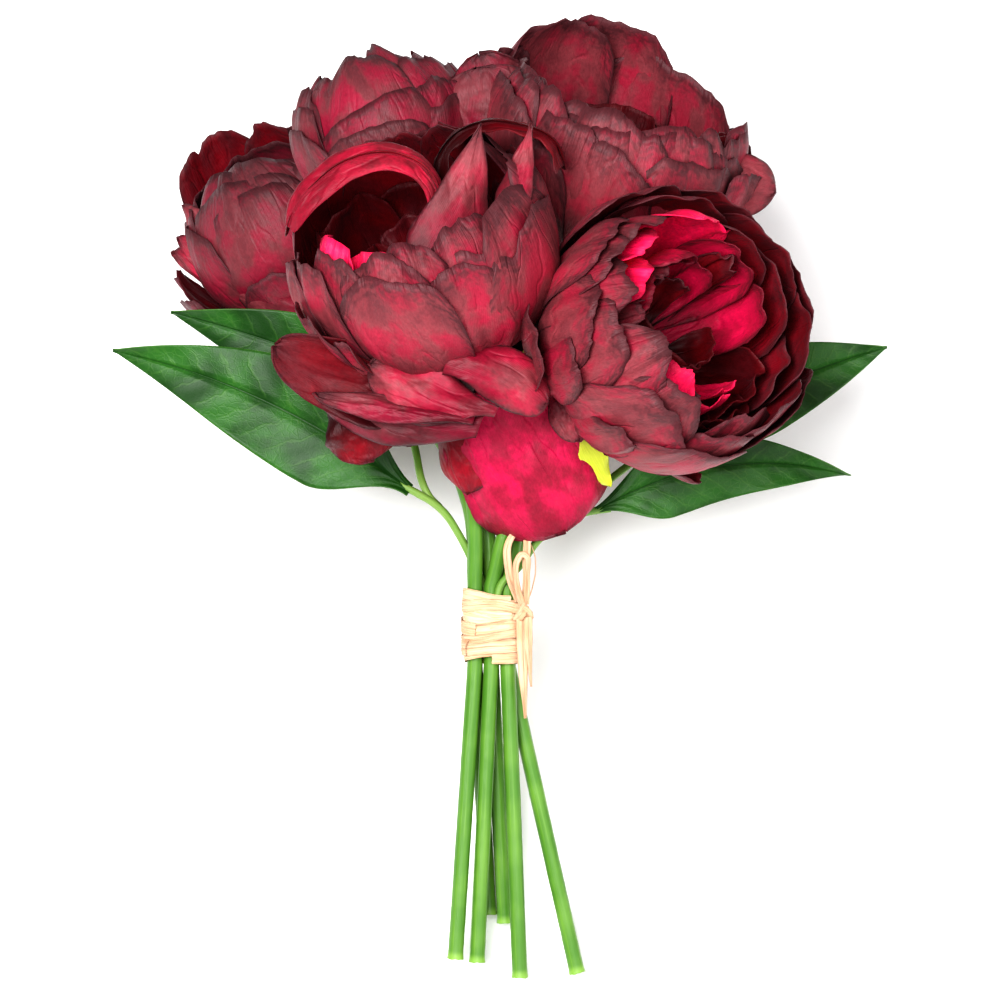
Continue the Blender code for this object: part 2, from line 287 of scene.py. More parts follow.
def bud(turn, rim, radius, width, seed, **values):
    """A bud's numbers: its own over the common ones."""
    return {**BUD, "turn": turn, "rim": rim, "radius": radius, "width": width, "seed": seed, **values}


def ring(count, radius, rim, width, seed, first=0.0, sweep=360.0, **values):
    """Buds evenly spaced round a head, each a little different; the seed fixes how."""
    luck = random.Random(seed)

    def about(amount):
        return luck.uniform(-amount, amount)

    buds = []
    for number in range(count):
        turn = first + sweep * number / count + about(0.12) * sweep / count
        grown = {
            "lap": 0.03 + about(0.03), "twist": about(6.0), "notch": max(0.0, about(0.10)),
            "notch_at": about(0.6), "curl": about(0.03), "dust": about(0.2), "slant": about(0.04),
        }
        buds.append(bud(
            turn, rim + about(6.0), radius * (1.0 + about(0.025)), width * (1.0 + about(0.14)),
            seed + 1.7 * number, **{**grown, **values},
        ))
    return buds


def new_geometry_tree(name, inputs, first_geometry=None):
    """An empty geometry tree with its inputs, and each input as a field."""
    tree = bpy.data.node_groups.new(name, "GeometryNodeTree")
    if first_geometry:
        tree.interface.new_socket(first_geometry, in_out="INPUT", socket_type="NodeSocketGeometry")
    for label, default in inputs.items():
        kind = "NodeSocketInt" if isinstance(default, int) else "NodeSocketFloat"
        socket = tree.interface.new_socket(label, in_out="INPUT", socket_type=kind)
        socket.default_value = default
    tree.interface.new_socket("Material", in_out="INPUT", socket_type="NodeSocketMaterial")
    tree.interface.new_socket("Geometry", in_out="OUTPUT", socket_type="NodeSocketGeometry")
    entry = tree.nodes.new("NodeGroupInput")
    fields = {socket.name: Field(tree, socket) for socket in entry.outputs if socket.name}
    return tree, fields


def store(tree, geometry, name, value, kind="FLOAT"):
    """Keeps a field's value at each point as a named attribute."""
    node = add_node(
        tree, "GeometryNodeStoreNamedAttribute", {"data_type": kind, "domain": "POINT"},
        Geometry=geometry, Name=name, Value=value,
    )
    return output(node, "Geometry")


def recall(tree, name, kind="FLOAT"):
    """The named attribute as a field."""
    node = add_node(tree, "GeometryNodeInputNamedAttribute", {"data_type": kind}, Name=name)
    return output(node, "Attribute")


def changed(tree, kind, geometry, **entries):
    """The geometry once a node of that kind has worked on it."""
    node = add_node(tree, f"GeometryNode{kind}", Geometry=geometry, **entries)
    return output(node, "Geometry")


def ruled_sheet(tree, given):
    """A flat grid, with its columns from -1 to 1 and its rows from 0 to 1."""
    sheet = add_node(
        tree, "GeometryNodeMeshGrid", Size_X=2.0, Size_Y=1.0,
        Vertices_X=given["Steps across"], Vertices_Y=given["Steps along"],
    )
    start = output(tree.nodes.new("GeometryNodeInputPosition"), "Position")
    spot = add_node(tree, "ShaderNodeSeparateXYZ", Vector=start)
    return output(sheet, "Mesh"), output(spot, "X"), output(spot, "Y") + 0.5


def finish_tree(tree, geometry, material):
    """The end of each tree: smooth, real geometry that wears the material."""
    geometry = changed(tree, "SetShadeSmooth", geometry)
    geometry = changed(tree, "RealizeInstances", geometry)
    painted = add_node(tree, "GeometryNodeSetMaterial", Geometry=geometry, Material=material)
    final = tree.nodes.new("NodeGroupOutput")
    tree.links.new(painted.outputs[0], final.inputs[0])


# %% The petal tree
def petal_tree():
    """A petal at each bud, from one flat grid."""
    steps = {"Steps across": 34, "Steps along": 24}
    tree, given = new_geometry_tree("petals_at_buds", steps, "Buds")
    sheet, column, row = ruled_sheet(tree, given)
    closer_at_sides = column * (1.35 - column * column * 0.35)
    geometry = store(tree, sheet, "across", closer_at_sides)
    geometry = store(tree, geometry, "along", row)
    placed = add_node(tree, "GeometryNodeInstanceOnPoints", Points=given["Buds"], Instance=geometry)
    geometry = changed(tree, "RealizeInstances", output(placed, "Instances"))

    own = {name: recall(tree, name) for name in BUD}
    across, along = recall(tree, "across"), recall(tree, "along")
    apart = own["seed"] * 7.31
    side = across.abs()
    degree = math.pi / 180.0

    # How far up the ball each point reaches: the rim is rounded, lobed, nicked and split.
    lobes = clouds(tree, across * 1.4, apart, 0.0, 1.0) - 0.5
    nicks = clouds(tree, across * 8.0, apart, 9.0, 4.0) - 0.5
    gap = (across - own["notch_at"]) / 0.13
    split = own["notch"] / (gap * gap + 1.0)
    corner = 1.0 - (1.0 - (side ** 2.6) * 0.999) ** 0.62
    reach = 1.0 - own["blunt"] * corner + own["wave"] * (lobes * 2.6 + nicks * 0.9) - split
    reach = reach + own["slant"] * across
    polar = (own["base"] + (own["rim"] - own["base"]) * along * reach) * degree

    # How far out from the ball each point stands.
    dents = clouds(tree, across * 1.5, along * 2.0, apart + 40.0, 1.0) - 0.5
    folds = clouds(tree, across * 5.0, along * 1.2, apart + 70.0, 1.0) - 0.5
    pleats = (across * own["ruffles"] * math.pi + apart + along * 2.5).sin()
    left, right = (across * -1.0).ramp(0.45, 1.0), across.ramp(0.45, 1.0)
    near_rim = along.ramp(0.5, 1.0)
    swell = 1.0 - own["cup"] * across * across + own["lap"] * across
    swell = swell + own["crumple"] * (dents * 2.4 + folds * 0.9) * along.ramp(0.1, 0.6)
    swell = swell + own["curl"] * near_rim * near_rim + own["ruffle"] * pleats * along ** 3.0
    swell = swell + own["roll_left"] * left * left + own["roll_right"] * right * right
    radius = own["radius"] * swell

    # How far round the head each point stands: the petal narrows to its claw.
    fullness = own["claw"] + (1.0 - own["claw"]) * along.ramp(0.0, 0.65)
    fullness = fullness * (1.12 - 0.10 * along ** 6.0)
    angle = own["turn"] + own["width"] * 0.5 * across * fullness + own["twist"] * (along - 0.3)
    angle = angle * degree

    # The place on the ball, and the cloth's own measures for its colour.
    out = radius * polar.sin()
    height = own["lift"] - radius * polar.cos() * own["stretch"]
    spot = vector(tree, out * angle.cos(), out * angle.sin(), height)
    girth = own["radius"] * degree
    geometry = store(tree, geometry, "petal", own["seed"])
    geometry = store(tree, geometry, "cloth_x", across * own["width"] * girth * 0.5)
    geometry = store(tree, geometry, "cloth_y", along * own["rim"] * girth)
    finish_tree(tree, changed(tree, "SetPosition", geometry, Position=spot), given["Material"])
    return tree


PETAL_TREE = petal_tree()
print("petal tree nodes:", len(PETAL_TREE.nodes))

# %% Growing a piece
PETAL_THICKNESS = 0.35
BLADE_THICKNESS = 0.4


def plain_mesh(holder):
    """The mesh that an object comes to, once its modifiers are worked out. The object goes."""
    graph = bpy.context.evaluated_depsgraph_get()
    mesh = bpy.data.meshes.new_from_object(holder.evaluated_get(graph), depsgraph=graph)
    bpy.data.objects.remove(holder)
    return mesh


def grow_mesh(name, tree, values, material, seedling):
    """Runs a geometry tree with the given inputs, and returns its result as a plain mesh."""
    holder = new_object(name, seedling)
    modifier = holder.modifiers.new("growth", "NODES")
    modifier.node_group = tree
    for item in tree.interface.items_tree:
        if item.in_out == "INPUT" and item.name in values:
            modifier[item.identifier] = type(item.default_value)(values[item.name])
        elif item.in_out == "INPUT" and item.name == "Material":
            modifier[item.identifier] = material
    return plain_mesh(holder)


def finish_piece(name, mesh, placement, stands_for=()):
    """Puts a mesh's place into its points, and hands the piece to the frame."""
    mesh.transform(TABLE_FROM_BUNCH @ placement)
    mesh.update()
    piece = new_object(name, mesh)
    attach(piece, "root")
    if stands_for:
        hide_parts(*stands_for)
    return piece


def give_thickness(piece, materials, thickness):
    """Cloth has two sides: the first material shows outside, the second inside."""
    piece.data.materials.append(materials[1])
    shell = piece.modifiers.new("cloth", "SOLIDIFY")
    shell.thickness = thickness * MM
    shell.offset = -1.0
    shell.material_offset = 1


def petals(name, placement, buds, materials, stands_for=()):
    """A petal at each bud, as one piece."""
    seedling = bpy.data.meshes.new(name)
    seedling.from_pydata([(0, 0, 0)] * len(buds), [], [])
    for key in BUD:
        seedling.attributes.new(key, "FLOAT", "POINT")
    for key in BUD:
        for number, own in enumerate(buds):
            seedling.attributes[key].data[number].value = own[key]
    mesh = grow_mesh(name, PETAL_TREE, {}, materials[0], seedling)
    piece = finish_piece(name, mesh, placement, stands_for)
    give_thickness(piece, materials, PETAL_THICKNESS)


# %% [markdown]
# ## Dyed satin and painted shade
# The cloth is woven satin, dyed unevenly. Outside it is a dusty rose with dark rims where the
# hot tool scorched it; towards the calyx the dye is a clear crimson. Fine streaks run along
# each petal. Towards its base each petal is also painted darker: painted shade where it lies
# under its neighbours. One node group makes the colour, the painted shade and the relief from
# what the petal tree kept on the cloth, and each petal material gives it its dyes and amounts.

# %% The cloth group
CLOTH_COLOURS = ("Dye", "Dust", "Rim")
CLOTH_AMOUNTS = ("Dustiness", "Rim darkness", "Base shade")


def attributes(tree, *names):
    """What the geometry tree kept under each name, as fields of a material."""
    nodes = [add_node(tree, "ShaderNodeAttribute", {"attribute_name": name}) for name in names]
    return [output(node, "Fac") for node in nodes]


def blend(tree, amount, first, second):
    """Mixes two colours."""
    node = tree.nodes.new("ShaderNodeMix")
    node.data_type = "RGBA"
    plug(tree, pick(node.inputs, "Factor"), amount)
    plug(tree, pick(node.inputs, "A"), first)
    plug(tree, pick(node.inputs, "B"), second)
    return output(node, "Result")


def surface(name, build, **settings):
    """A material whose build function gives its colour, relief, bump strength and bump depth."""
    material = bpy.data.materials.new(name)
    material.use_nodes = True
    tree = material.node_tree
    shader = tree.nodes["Principled BSDF"]
    colour, height, strength, depth = build(tree)
    bump = add_node(tree, "ShaderNodeBump", Strength=strength, Distance=depth * MM, Height=height)
    plug(tree, shader.inputs["Base Color"], colour)
    plug(tree, shader.inputs["Normal"], output(bump, "Normal"))
    for key, value in settings.items():
        shader.inputs[key.replace("_", " ")].default_value = value
    return material


def cloth_group():
    """The colour and the relief of dyed satin, with painted shade towards each petal's base."""
    tree = bpy.data.node_groups.new("dyed_satin", "ShaderNodeTree")
    for label in CLOTH_COLOURS:
        tree.interface.new_socket(label, in_out="INPUT", socket_type="NodeSocketColor")
    for label in CLOTH_AMOUNTS:
        tree.interface.new_socket(label, in_out="INPUT", socket_type="NodeSocketFloat")
    tree.interface.new_socket("Color", in_out="OUTPUT", socket_type="NodeSocketColor")
    tree.interface.new_socket("Height", in_out="OUTPUT", socket_type="NodeSocketFloat")
    entry = tree.nodes.new("NodeGroupInput")
    given = {socket.name: Field(tree, socket) for socket in entry.outputs if socket.name}

    across, along, petal, dust = attributes(tree, "across", "along", "petal", "dust")
    cloth_x, cloth_y = attributes(tree, "cloth_x", "cloth_y")
    patches = clouds(tree, cloth_x * 0.13, cloth_y * 0.08, petal * 5.3, 5.0)
    streaks = clouds(tree, across * 5.0, along * 1.6, petal * 3.7, 4.0)
    fibres = clouds(tree, cloth_x * 1.6, cloth_y * 0.8, petal, 4.0)
    side = across.abs()
    border = (side ** 12.0).math("MAXIMUM", along ** 22.0)
    ragged = clouds(tree, cloth_x * 0.5, cloth_y * 0.5, petal * 2.1, 2.0)

    # The dye wears to dust in patches and towards the rim, and the hot tool scorches the edge.
    dusty = patches.ramp(0.38, 0.60) * 0.95 + along.ramp(0.15, 0.85) * 0.70 - 0.48
    dusty = (dusty + (streaks - 0.5) * 0.5) * given["Dustiness"] * 2.0 + dust
    dusty = dusty.math("MAXIMUM", 0.0).math("MINIMUM", 1.0)
    colour = blend(tree, dusty, given["Dye"], given["Dust"])
    singed = patches.ramp(0.52, 0.68) * 0.35 + side.ramp(0.6, 1.0) * ragged.ramp(0.4, 0.6) * 0.4
    singed = singed + along.ramp(0.70, 1.0) * (ragged.ramp(0.35, 0.65) * 0.55 + 0.25)
    scorch = (border * 0.9 + singed) * given["Rim darkness"]
    colour = blend(tree, scorch.math("MINIMUM", 0.9), colour, given["Rim"])
    shade = (fibres - 0.5) * 0.60 + (streaks - 0.5) * 0.35 + (ragged - 0.5) * 0.60 + 1.08
    # Painted shade: each petal is darkened towards its base, where its neighbours lie over it.
    shade = shade * (1.0 - given["Base shade"] * (1.0 - along.ramp(0.15, 0.95)))

    # The relief: weave, fine crimps near the rim, and a few creases.
    weave = ((cloth_x + cloth_y) * 7.0).sin() * (cloth_x * 5.0 - cloth_y * 9.0).sin()
    crimp = clouds(tree, across * 34.0, along * 3.0, petal * 3.7, 2.0)
    wrinkle = clouds(tree, cloth_x * 0.16, cloth_y * 0.05, petal * 8.1, 1.0)
    creased = (wrinkle - 0.5).abs().ramp(0.0, 0.06)
    height = weave * 0.05 + streaks * 0.25 + crimp * along.ramp(0.6, 1.0) * 0.6 + fibres * 0.2
    height = height + creased * 0.45 + patches * 0.5
    final = tree.nodes.new("NodeGroupOutput")
    plug(tree, final.inputs["Color"], scaled(tree, colour, shade))
    plug(tree, final.inputs["Height"], height)
    return tree


CLOTH = cloth_group()


def satin(name, dye, dust, rim, dustiness=0.5, rim_darkness=0.8, base_shade=0.5):
    """A petal material: the cloth group with its own dyes and amounts."""

    def build(tree):
        cloth = tree.nodes.new("ShaderNodeGroup")
        cloth.node_tree = CLOTH
        for label, colour in zip(CLOTH_COLOURS, (dye, dust, rim)):
            cloth.inputs[label].default_value = (*colour, 1.0)
        for label, amount in zip(CLOTH_AMOUNTS, (dustiness, rim_darkness, base_shade)):
            cloth.inputs[label].default_value = amount
        return output(cloth, "Color"), output(cloth, "Height"), 0.6, 0.7

    return surface(
        name, build, Roughness=0.46, Sheen_Weight=0.03, Sheen_Roughness=0.4,
        Sheen_Tint=(1.0, 0.55, 0.60, 1.0), Specular_IOR_Level=0.22,
    )


CRIMSON = (0.34, 0.015, 0.048)
DUSTY_ROSE = (0.235, 0.047, 0.059)
SCORCHED = (0.060, 0.018, 0.022)
# Deep red cloth, painted nearly black: painted shade in the hollows of the heads.
HOLLOW_SHADE_RED = (0.12, 0.001, 0.005)
# Magenta cloth, painted brighter than the light inside the heads leaves it: partly painted light.
LIT_MAGENTA = (0.88, 0.008, 0.105)

outer_satin = satin("outer_satin", CRIMSON, DUSTY_ROSE, SCORCHED)
# A darker copy of outer_satin, for the two left heads and some loose petals: painted shade.
muted_satin = satin("muted_satin", (0.25, 0.011, 0.038), (0.165, 0.034, 0.043), SCORCHED)
# Inner faces: deep crimson cloth, painted darker still as painted shade.
inner_satin = satin("inner_satin", (0.19, 0.002, 0.010), (0.13, 0.009, 0.016), SCORCHED, 0.35, 0.5, 0.85)
wine_satin = satin("wine_satin", (0.25, 0.003, 0.016), (0.17, 0.012, 0.022), SCORCHED, 0.35, 0.6, 0.6)
arch_satin = satin("arch_satin", (0.40, 0.012, 0.045), (0.16, 0.014, 0.024), SCORCHED, 0.5, 0.0)
# The cloth deep in the heads: deep red, painted nearly black as painted shade in the hollows and gaps.
dark_satin = satin("dark_satin", HOLLOW_SHADE_RED, (0.07, 0.004, 0.008), (0.08, 0.01, 0.014), 0.4, 0.4, 0.9)
# The hearts: magenta cloth painted brighter, partly painted light, with little base shade.
heart_satin = satin("heart_satin", LIT_MAGENTA, (0.62, 0.014, 0.09), (0.45, 0.02, 0.06), 0.35, 0.3, 0.2)
bright_satin = satin(
    "bright_satin", (0.55, 0.008, 0.072), (0.29, 0.010, 0.035), (0.10, 0.012, 0.020), 0.30, 0.8,
)
hanging_satin = satin(
    "hanging_satin", (0.42, 0.008, 0.062), (0.22, 0.009, 0.030), (0.12, 0.010, 0.022), 0.40, 0.55, 0.0,
)
SATINS = [material.name for material in bpy.data.materials if material.name.endswith("_satin")]
print("petal materials:", len(SATINS))

# %% [markdown]
# ## Flower by flower
# Each head is several rings of petals, from the guard petals outside to the small ruffled ones
# in the heart. The rings follow the rule; single petals that give a head its character have
# buds of their own.

# %% Head places, and the cloths of a petal's two sides
# Each head has its centre and the way it faces.
HEADS = {
    "front_right": ((54, 206, 44), (0.60, 0.26, 0.76)),
    "front": ((-24, 232, 45), (-0.28, 0.80, 0.53)),
    "left": ((-72, 248, -64), (-0.50, 0.80, 0.30)),
    "upper_left": ((-38, 275, -10), (-0.25, 0.95, 0.12)),
    "upper_right": ((38, 272, -5), (0.22, 0.82, 0.52)),
    "back": ((28, 220, -60), (0.10, 0.60, -0.75)),
}
OUTSIDE = (outer_satin, inner_satin)
BOTH_DUSTY = (outer_satin, outer_satin)
# The shaded outer cloths use the darker copy of outer_satin: painted shade.
SHADED_OUTER = (muted_satin, inner_satin)
BOTH_SHADED_OUTER = (muted_satin, muted_satin)
# Heart cloth is magenta painted brighter: partly painted light.
LIT_HEARTS = (heart_satin, heart_satin)
# Inner rings and hearts in the nearly black cloth: painted shade in the heads' hollows.
HOLLOW_SHADE = (dark_satin, dark_satin)
RUFFLED = dict(ruffle=0.05, crumple=0.12, blunt=0.18)


def petals_of(title):
    """The frame's outer petals of that head."""
    return [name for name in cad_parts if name.startswith(f"peony_{title}_petal_")]


def head(title, rings):
    """Grows a head's rings; the first stands for the outer petals, the last for the heart."""
    centre, faces = HEADS[title]
    placement = frame_facing(centre, faces)
    for number, (label, materials, buds) in enumerate(rings):
        first, last = number == 0, number == len(rings) - 1
        nodes = petals_of(title) if first else [f"peony_{title}_heart"] if last else []
        petals(f"peony_{title}_{label}", placement, buds, materials, nodes)
    print(title, "petals:", sum(len(buds) for label, materials, buds in rings))


# %% Front right head
head("front_right", [
    ("guard_petals", OUTSIDE, [
        bud(118, 106, 43.5, 62, 1, twist=-8, notch=0.05, curl=0.03),
        bud(204, 92, 44.0, 34, 2, roll_left=0.10, roll_right=0.02, cup=0.10, dust=-0.3),
        bud(190, 80, 46.5, 40, 9, curl=0.06, dust=0.3),
        bud(243, 90, 43.5, 30, 3, blunt=0.4),
        bud(262, 102, 43.8, 66, 4, twist=26, wave=0.05, dust=-0.15),
        bud(292, 78, 43.2, 26, 5, wave=0.10, blunt=0.4, curl=0.08),
        bud(330, 112, 43.5, 60, 6, curl=0.05),
        bud(20, 118, 43.5, 62, 7, curl=0.04),
        bud(68, 112, 43.8, 60, 8, curl=0.03),
    ]),
    ("second_petals", OUTSIDE, [
        bud(186, 108, 42.0, 46, 11, wave=0.06, dust=0.1),
        bud(228, 112, 41.6, 52, 12, twist=24),
        bud(150, 112, 42.0, 44, 13, notch=0.06),
        bud(276, 114, 41.4, 50, 14, twist=14, wave=0.04, dust=-0.1),
        bud(318, 120, 41.6, 56, 15, curl=0.04),
        bud(2, 124, 41.6, 56, 16, curl=0.03),
        bud(44, 124, 41.8, 54, 17, curl=0.03),
        bud(92, 118, 41.8, 56, 18),
    ]),
    ("third_petals", OUTSIDE, [
        bud(196, 117, 40.0, 44, 21, twist=6, wave=0.05),
        bud(160, 115, 40.2, 40, 22, notch=0.06),
        bud(236, 124, 39.6, 46, 23, twist=12),
        bud(290, 122, 39.0, 46, 24, twist=10),
    ]),
    ("fourth_petals", OUTSIDE, [
        bud(212, 128, 38.4, 44, 31, twist=8, wave=0.06),
        bud(176, 122, 38.2, 40, 32),
        bud(132, 119, 38.0, 44, 33),
    ]),
    ("far_petals", (outer_satin, wine_satin), [
        bud(30, 122, 38.2, 60, 34, wave=0.04, dust=-0.2),
        bud(64, 127, 36.8, 62, 35, wave=0.04, dust=-0.2),
        bud(350, 112, 38.0, 46, 36, wave=0.06),
    ]),
    ("inner_petals", HOLLOW_SHADE, ring(3, 31.0, 100, 60, 7, first=-80, sweep=80, **RUFFLED)),
    ("ruffled_petals", LIT_HEARTS, [
        bud(92, 126, 35.5, 56, 201, crumple=0.10, wave=0.08, curl=0.04),
        bud(140, 122, 34.0, 40, 202, crumple=0.10),
        bud(160, 127, 29.0, 44, 209, crumple=0.12),
        bud(246, 127, 29.0, 44, 203, curl=-0.08, roll_right=0.2),
        bud(296, 108, 27.0, 30, 204, wave=0.10),
        bud(318, 104, 25.0, 26, 208, wave=0.12),
    ]),
    ("crimson_petals", (bright_satin, bright_satin), [
        bud(56, 126, 32.0, 44, 205, wave=0.02, dust=-0.4, notch=0.08, notch_at=0.0),
        bud(24, 119, 31.0, 38, 211, wave=0.03, dust=-0.1),
        bud(112, 128, 24.0, 60, 206, crumple=0.12, dust=-0.3),
        bud(78, 118, 22.0, 50, 210, crumple=0.12, dust=-0.2),
        bud(165, 124, 24.0, 60, 207, crumple=0.12, dust=-0.2),
    ]),
    ("small_petals", OUTSIDE, [
        bud(138, 124, 22.0, 34, 212, crumple=0.15, wave=0.08),
        bud(60, 121, 26.0, 24, 213, crumple=0.15, curl=0.1),
        bud(95, 112, 16.0, 46, 214, crumple=0.15, wave=0.08),
        bud(185, 120, 26.0, 30, 215, crumple=0.12, wave=0.08),
        bud(270, 112, 24.0, 26, 216, crumple=0.15, wave=0.08),
    ]),
    ("heart_petals", HOLLOW_SHADE, ring(4, 14.0, 112, 80, 9, first=200, sweep=180, **RUFFLED)),
])

# %% Front head
head("front", [
    ("guard_petals", OUTSIDE, [
        bud(257, 108, 42.2, 54, 41, wave=0.04, dust=0.1),
        bud(333, 106, 42.4, 70, 42, notch=0.10, notch_at=-0.4, dust=0.1),
        bud(212, 90, 43.0, 30, 43, wave=0.08, curl=0.05),
        bud(197, 104, 42.4, 36, 44, wave=0.08),
        bud(226, 80, 43.6, 22, 48, wave=0.10, blunt=0.4),
        bud(20, 112, 42.6, 60, 45),
        bud(75, 118, 42.4, 66, 46),
        bud(130, 118, 42.6, 60, 47),
    ]),
    ("second_petals", OUTSIDE, [
        bud(292, 104, 41.2, 50, 51, blunt=0.3, dust=-0.1),
        bud(322, 120, 40.8, 78, 52, notch=0.12, notch_at=-0.45, wave=0.03),
        bud(255, 119, 40.2, 48, 54, ruffle=0.04),
        bud(205, 113, 40.6, 50, 53),
        bud(0, 124, 40.6, 50, 55, blunt=0.5),
        bud(50, 128, 40.6, 66, 56),
        bud(100, 128, 40.4, 60, 57),
    ]),
    ("arching_petals", OUTSIDE, [bud(140, 134, 38.5, 100, 60, curl=0.05, wave=0.03, dust=-0.2)]),
    ("third_petals", OUTSIDE, [
        bud(270, 123, 38.4, 40, 61, ruffle=0.04),
        bud(225, 117, 38.4, 50, 62),
        bud(300, 124, 38.4, 44, 63, dust=-0.2),
        bud(50, 136, 38.0, 70, 65),
    ]),
    ("inner_petals", HOLLOW_SHADE, ring(5, 34.0, 106, 84, 10, first=10, **RUFFLED)),
    ("ruffled_petals", LIT_HEARTS, [
        bud(218, 126, 34.5, 48, 66, wave=0.02, dust=0.35, **RUFFLED),
        bud(248, 121, 33.5, 52, 67, wave=0.02, dust=0.35, **RUFFLED),
    ]),
    ("heart_petals", HOLLOW_SHADE, ring(5, 20.0, 92, 80, 11, first=30, **RUFFLED)),
])

# %% Left head
head("left", [
    ("guard_petals", SHADED_OUTER, [
        bud(205, 88, 41.0, 46, 71, curl=0.12, wave=0.09),
        bud(218, 80, 42.5, 40, 72, curl=0.15, wave=0.10, dust=0.2),
        bud(190, 96, 39.5, 44, 73, curl=0.10, wave=0.08),
        bud(255, 84, 37.8, 52, 74, blunt=0.3, curl=0.03, dust=-0.2),
        bud(288, 88, 37.6, 46, 75),
    ] + ring(4, 36.5, 100, 66, 12, first=-45, sweep=200)),
    ("second_petals", BOTH_SHADED_OUTER, [
        bud(263, 128, 36.2, 88, 76, ruffle=0.018, wave=0.03, dust=0.1),
        bud(205, 122, 36.0, 60, 77),
        bud(318, 118, 36.0, 60, 78),
    ] + ring(3, 35.5, 116, 66, 13, first=0, sweep=180)),
    ("third_petals", BOTH_SHADED_OUTER, [
        bud(254, 138, 35.0, 96, 79, ruffle=0.03, wave=0.04, dust=0.2),
        bud(318, 130, 35.0, 60, 80, ruffle=0.03),
        bud(190, 132, 35.0, 60, 81),
    ] + ring(3, 34.5, 124, 70, 14, first=10, sweep=170)),
    ("fourth_petals", BOTH_SHADED_OUTER, [
        bud(268, 147, 34.0, 100, 82, ruffle=0.03, wave=0.04, dust=0.2),
    ] + ring(4, 33.0, 136, 80, 15, first=-20, sweep=240)),
    ("fifth_petals", SHADED_OUTER, [
        bud(252, 154, 33.0, 110, 83, ruffle=0.03, wave=0.05),
        bud(118, 128, 42.0, 52, 84, lift=9.0, dust=-0.3, notch=0.08),
        bud(84, 124, 40.0, 40, 85, lift=5.0, dust=-0.2),
    ]),
    ("heart_petals", HOLLOW_SHADE, ring(5, 18.0, 124, 80, 17, first=30, **RUFFLED)),
])

# %% Upper left head
head("upper_left", [
    ("guard_petals", SHADED_OUTER, [
        bud(255, 90, 31.8, 90, 91, slant=0.08, dust=0.5),
        bud(205, 100, 31.5, 60, 92),
        bud(320, 98, 31.5, 60, 93),
    ] + ring(3, 31.0, 110, 80, 18, first=0, sweep=180)),
    ("second_petals", SHADED_OUTER, [
        bud(264, 107, 30.4, 96, 94, slant=0.12, wave=0.04, dust=-0.2),
        bud(205, 117, 30.2, 46, 95, dust=0.3),
        bud(314, 114, 30.6, 46, 96, roll_right=0.12, dust=-0.4),
    ] + ring(3, 30.0, 122, 72, 19, first=0, sweep=180)),
    ("third_petals", SHADED_OUTER, [
        bud(255, 148, 28.8, 88, 97, ruffle=0.015, dust=-0.1, notch=0.08, notch_at=-0.4),
        bud(198, 130, 28.8, 60, 98),
        bud(315, 132, 29.0, 60, 99),
    ] + ring(3, 28.5, 132, 80, 20, first=0, sweep=180)),
    ("inner_petals", SHADED_OUTER, [
        bud(288, 160, 28.0, 50, 100, blunt=0.5),
    ] + ring(4, 26.0, 146, 84, 21, first=10)),
    ("heart_petals", HOLLOW_SHADE, ring(4, 15.0, 124, 90, 22, first=30, **RUFFLED)),
])

# %% Upper right head
head("upper_right", [
    ("guard_petals", OUTSIDE, [
        bud(262, 109, 45.6, 42, 111, dust=0.3, blunt=0.2),
        bud(297, 107, 45.4, 60, 112, dust=0.3, blunt=0.2),
        bud(198, 112, 45.6, 66, 113, dust=0.5, blunt=0.2),
        bud(228, 102, 45.6, 40, 114),
        bud(345, 86, 46.5, 34, 115, wave=0.04),
        bud(328, 99, 46.6, 32, 116, curl=0.05),
    ]),
    ("far_petals", BOTH_DUSTY, [
        bud(126, 120, 43.6, 66, 117, wave=0.06, dust=0.2),
        bud(60, 104, 44.4, 84, 118, wave=0.06, dust=0.1),
        bud(96, 117, 46.0, 66, 119, wave=0.06),
        bud(14, 94, 45.0, 54, 120, wave=0.08),
        bud(160, 108, 46.0, 50, 121, wave=0.08),
    ]),
    ("second_petals", OUTSIDE, [
        bud(236, 116, 44.0, 50, 122, dust=0.1, blunt=0.2),
        bud(264, 119, 43.4, 56, 123, wave=0.08, blunt=0.2),
        bud(293, 117, 43.6, 52, 124, ruffle=0.03, blunt=0.2),
        bud(315, 110, 43.8, 44, 125),
        bud(205, 118, 44.0, 44, 126),
    ]),
    ("third_petals", OUTSIDE, [
        bud(216, 122, 42.4, 64, 127, dust=-0.1, blunt=0.2),
        bud(250, 124, 42.0, 66, 128, wave=0.04, blunt=0.2),
        bud(282, 122, 41.6, 62, 129, wave=0.04, blunt=0.2),
        bud(304, 118, 42.2, 44, 130, wave=0.05),
        bud(335, 112, 42.4, 50, 131),
    ]),
    ("fourth_petals", OUTSIDE, ring(4, 40.2, 120, 74, 26, first=200, sweep=160, wave=0.04)),
    ("inner_petals", HOLLOW_SHADE, ring(4, 37.0, 114, 74, 28, first=200, sweep=170, **RUFFLED)),
    ("heart_petals", HOLLOW_SHADE, ring(6, 26.0, 88, 70, 29, first=30, **RUFFLED)),
])

# %% Back head
head("back", [
    ("guard_petals", OUTSIDE, ring(6, 34.5, 108, 72, 30, first=0)),
    ("second_petals", OUTSIDE, ring(7, 33.0, 120, 60, 31, first=25)),
    ("third_petals", OUTSIDE, ring(7, 31.0, 130, 60, 32, first=0)),
    ("inner_petals", HOLLOW_SHADE, ring(6, 25.0, 126, 70, 33, first=10, ruffle=0.05, crumple=0.12, stretch=1.1)),
    ("heart_petals", LIT_HEARTS, ring(
        5, 18.0, 124, 80, 34, first=30, ruffle=0.08, crumple=0.2, stretch=1.3, blunt=0.2,
    )),
])

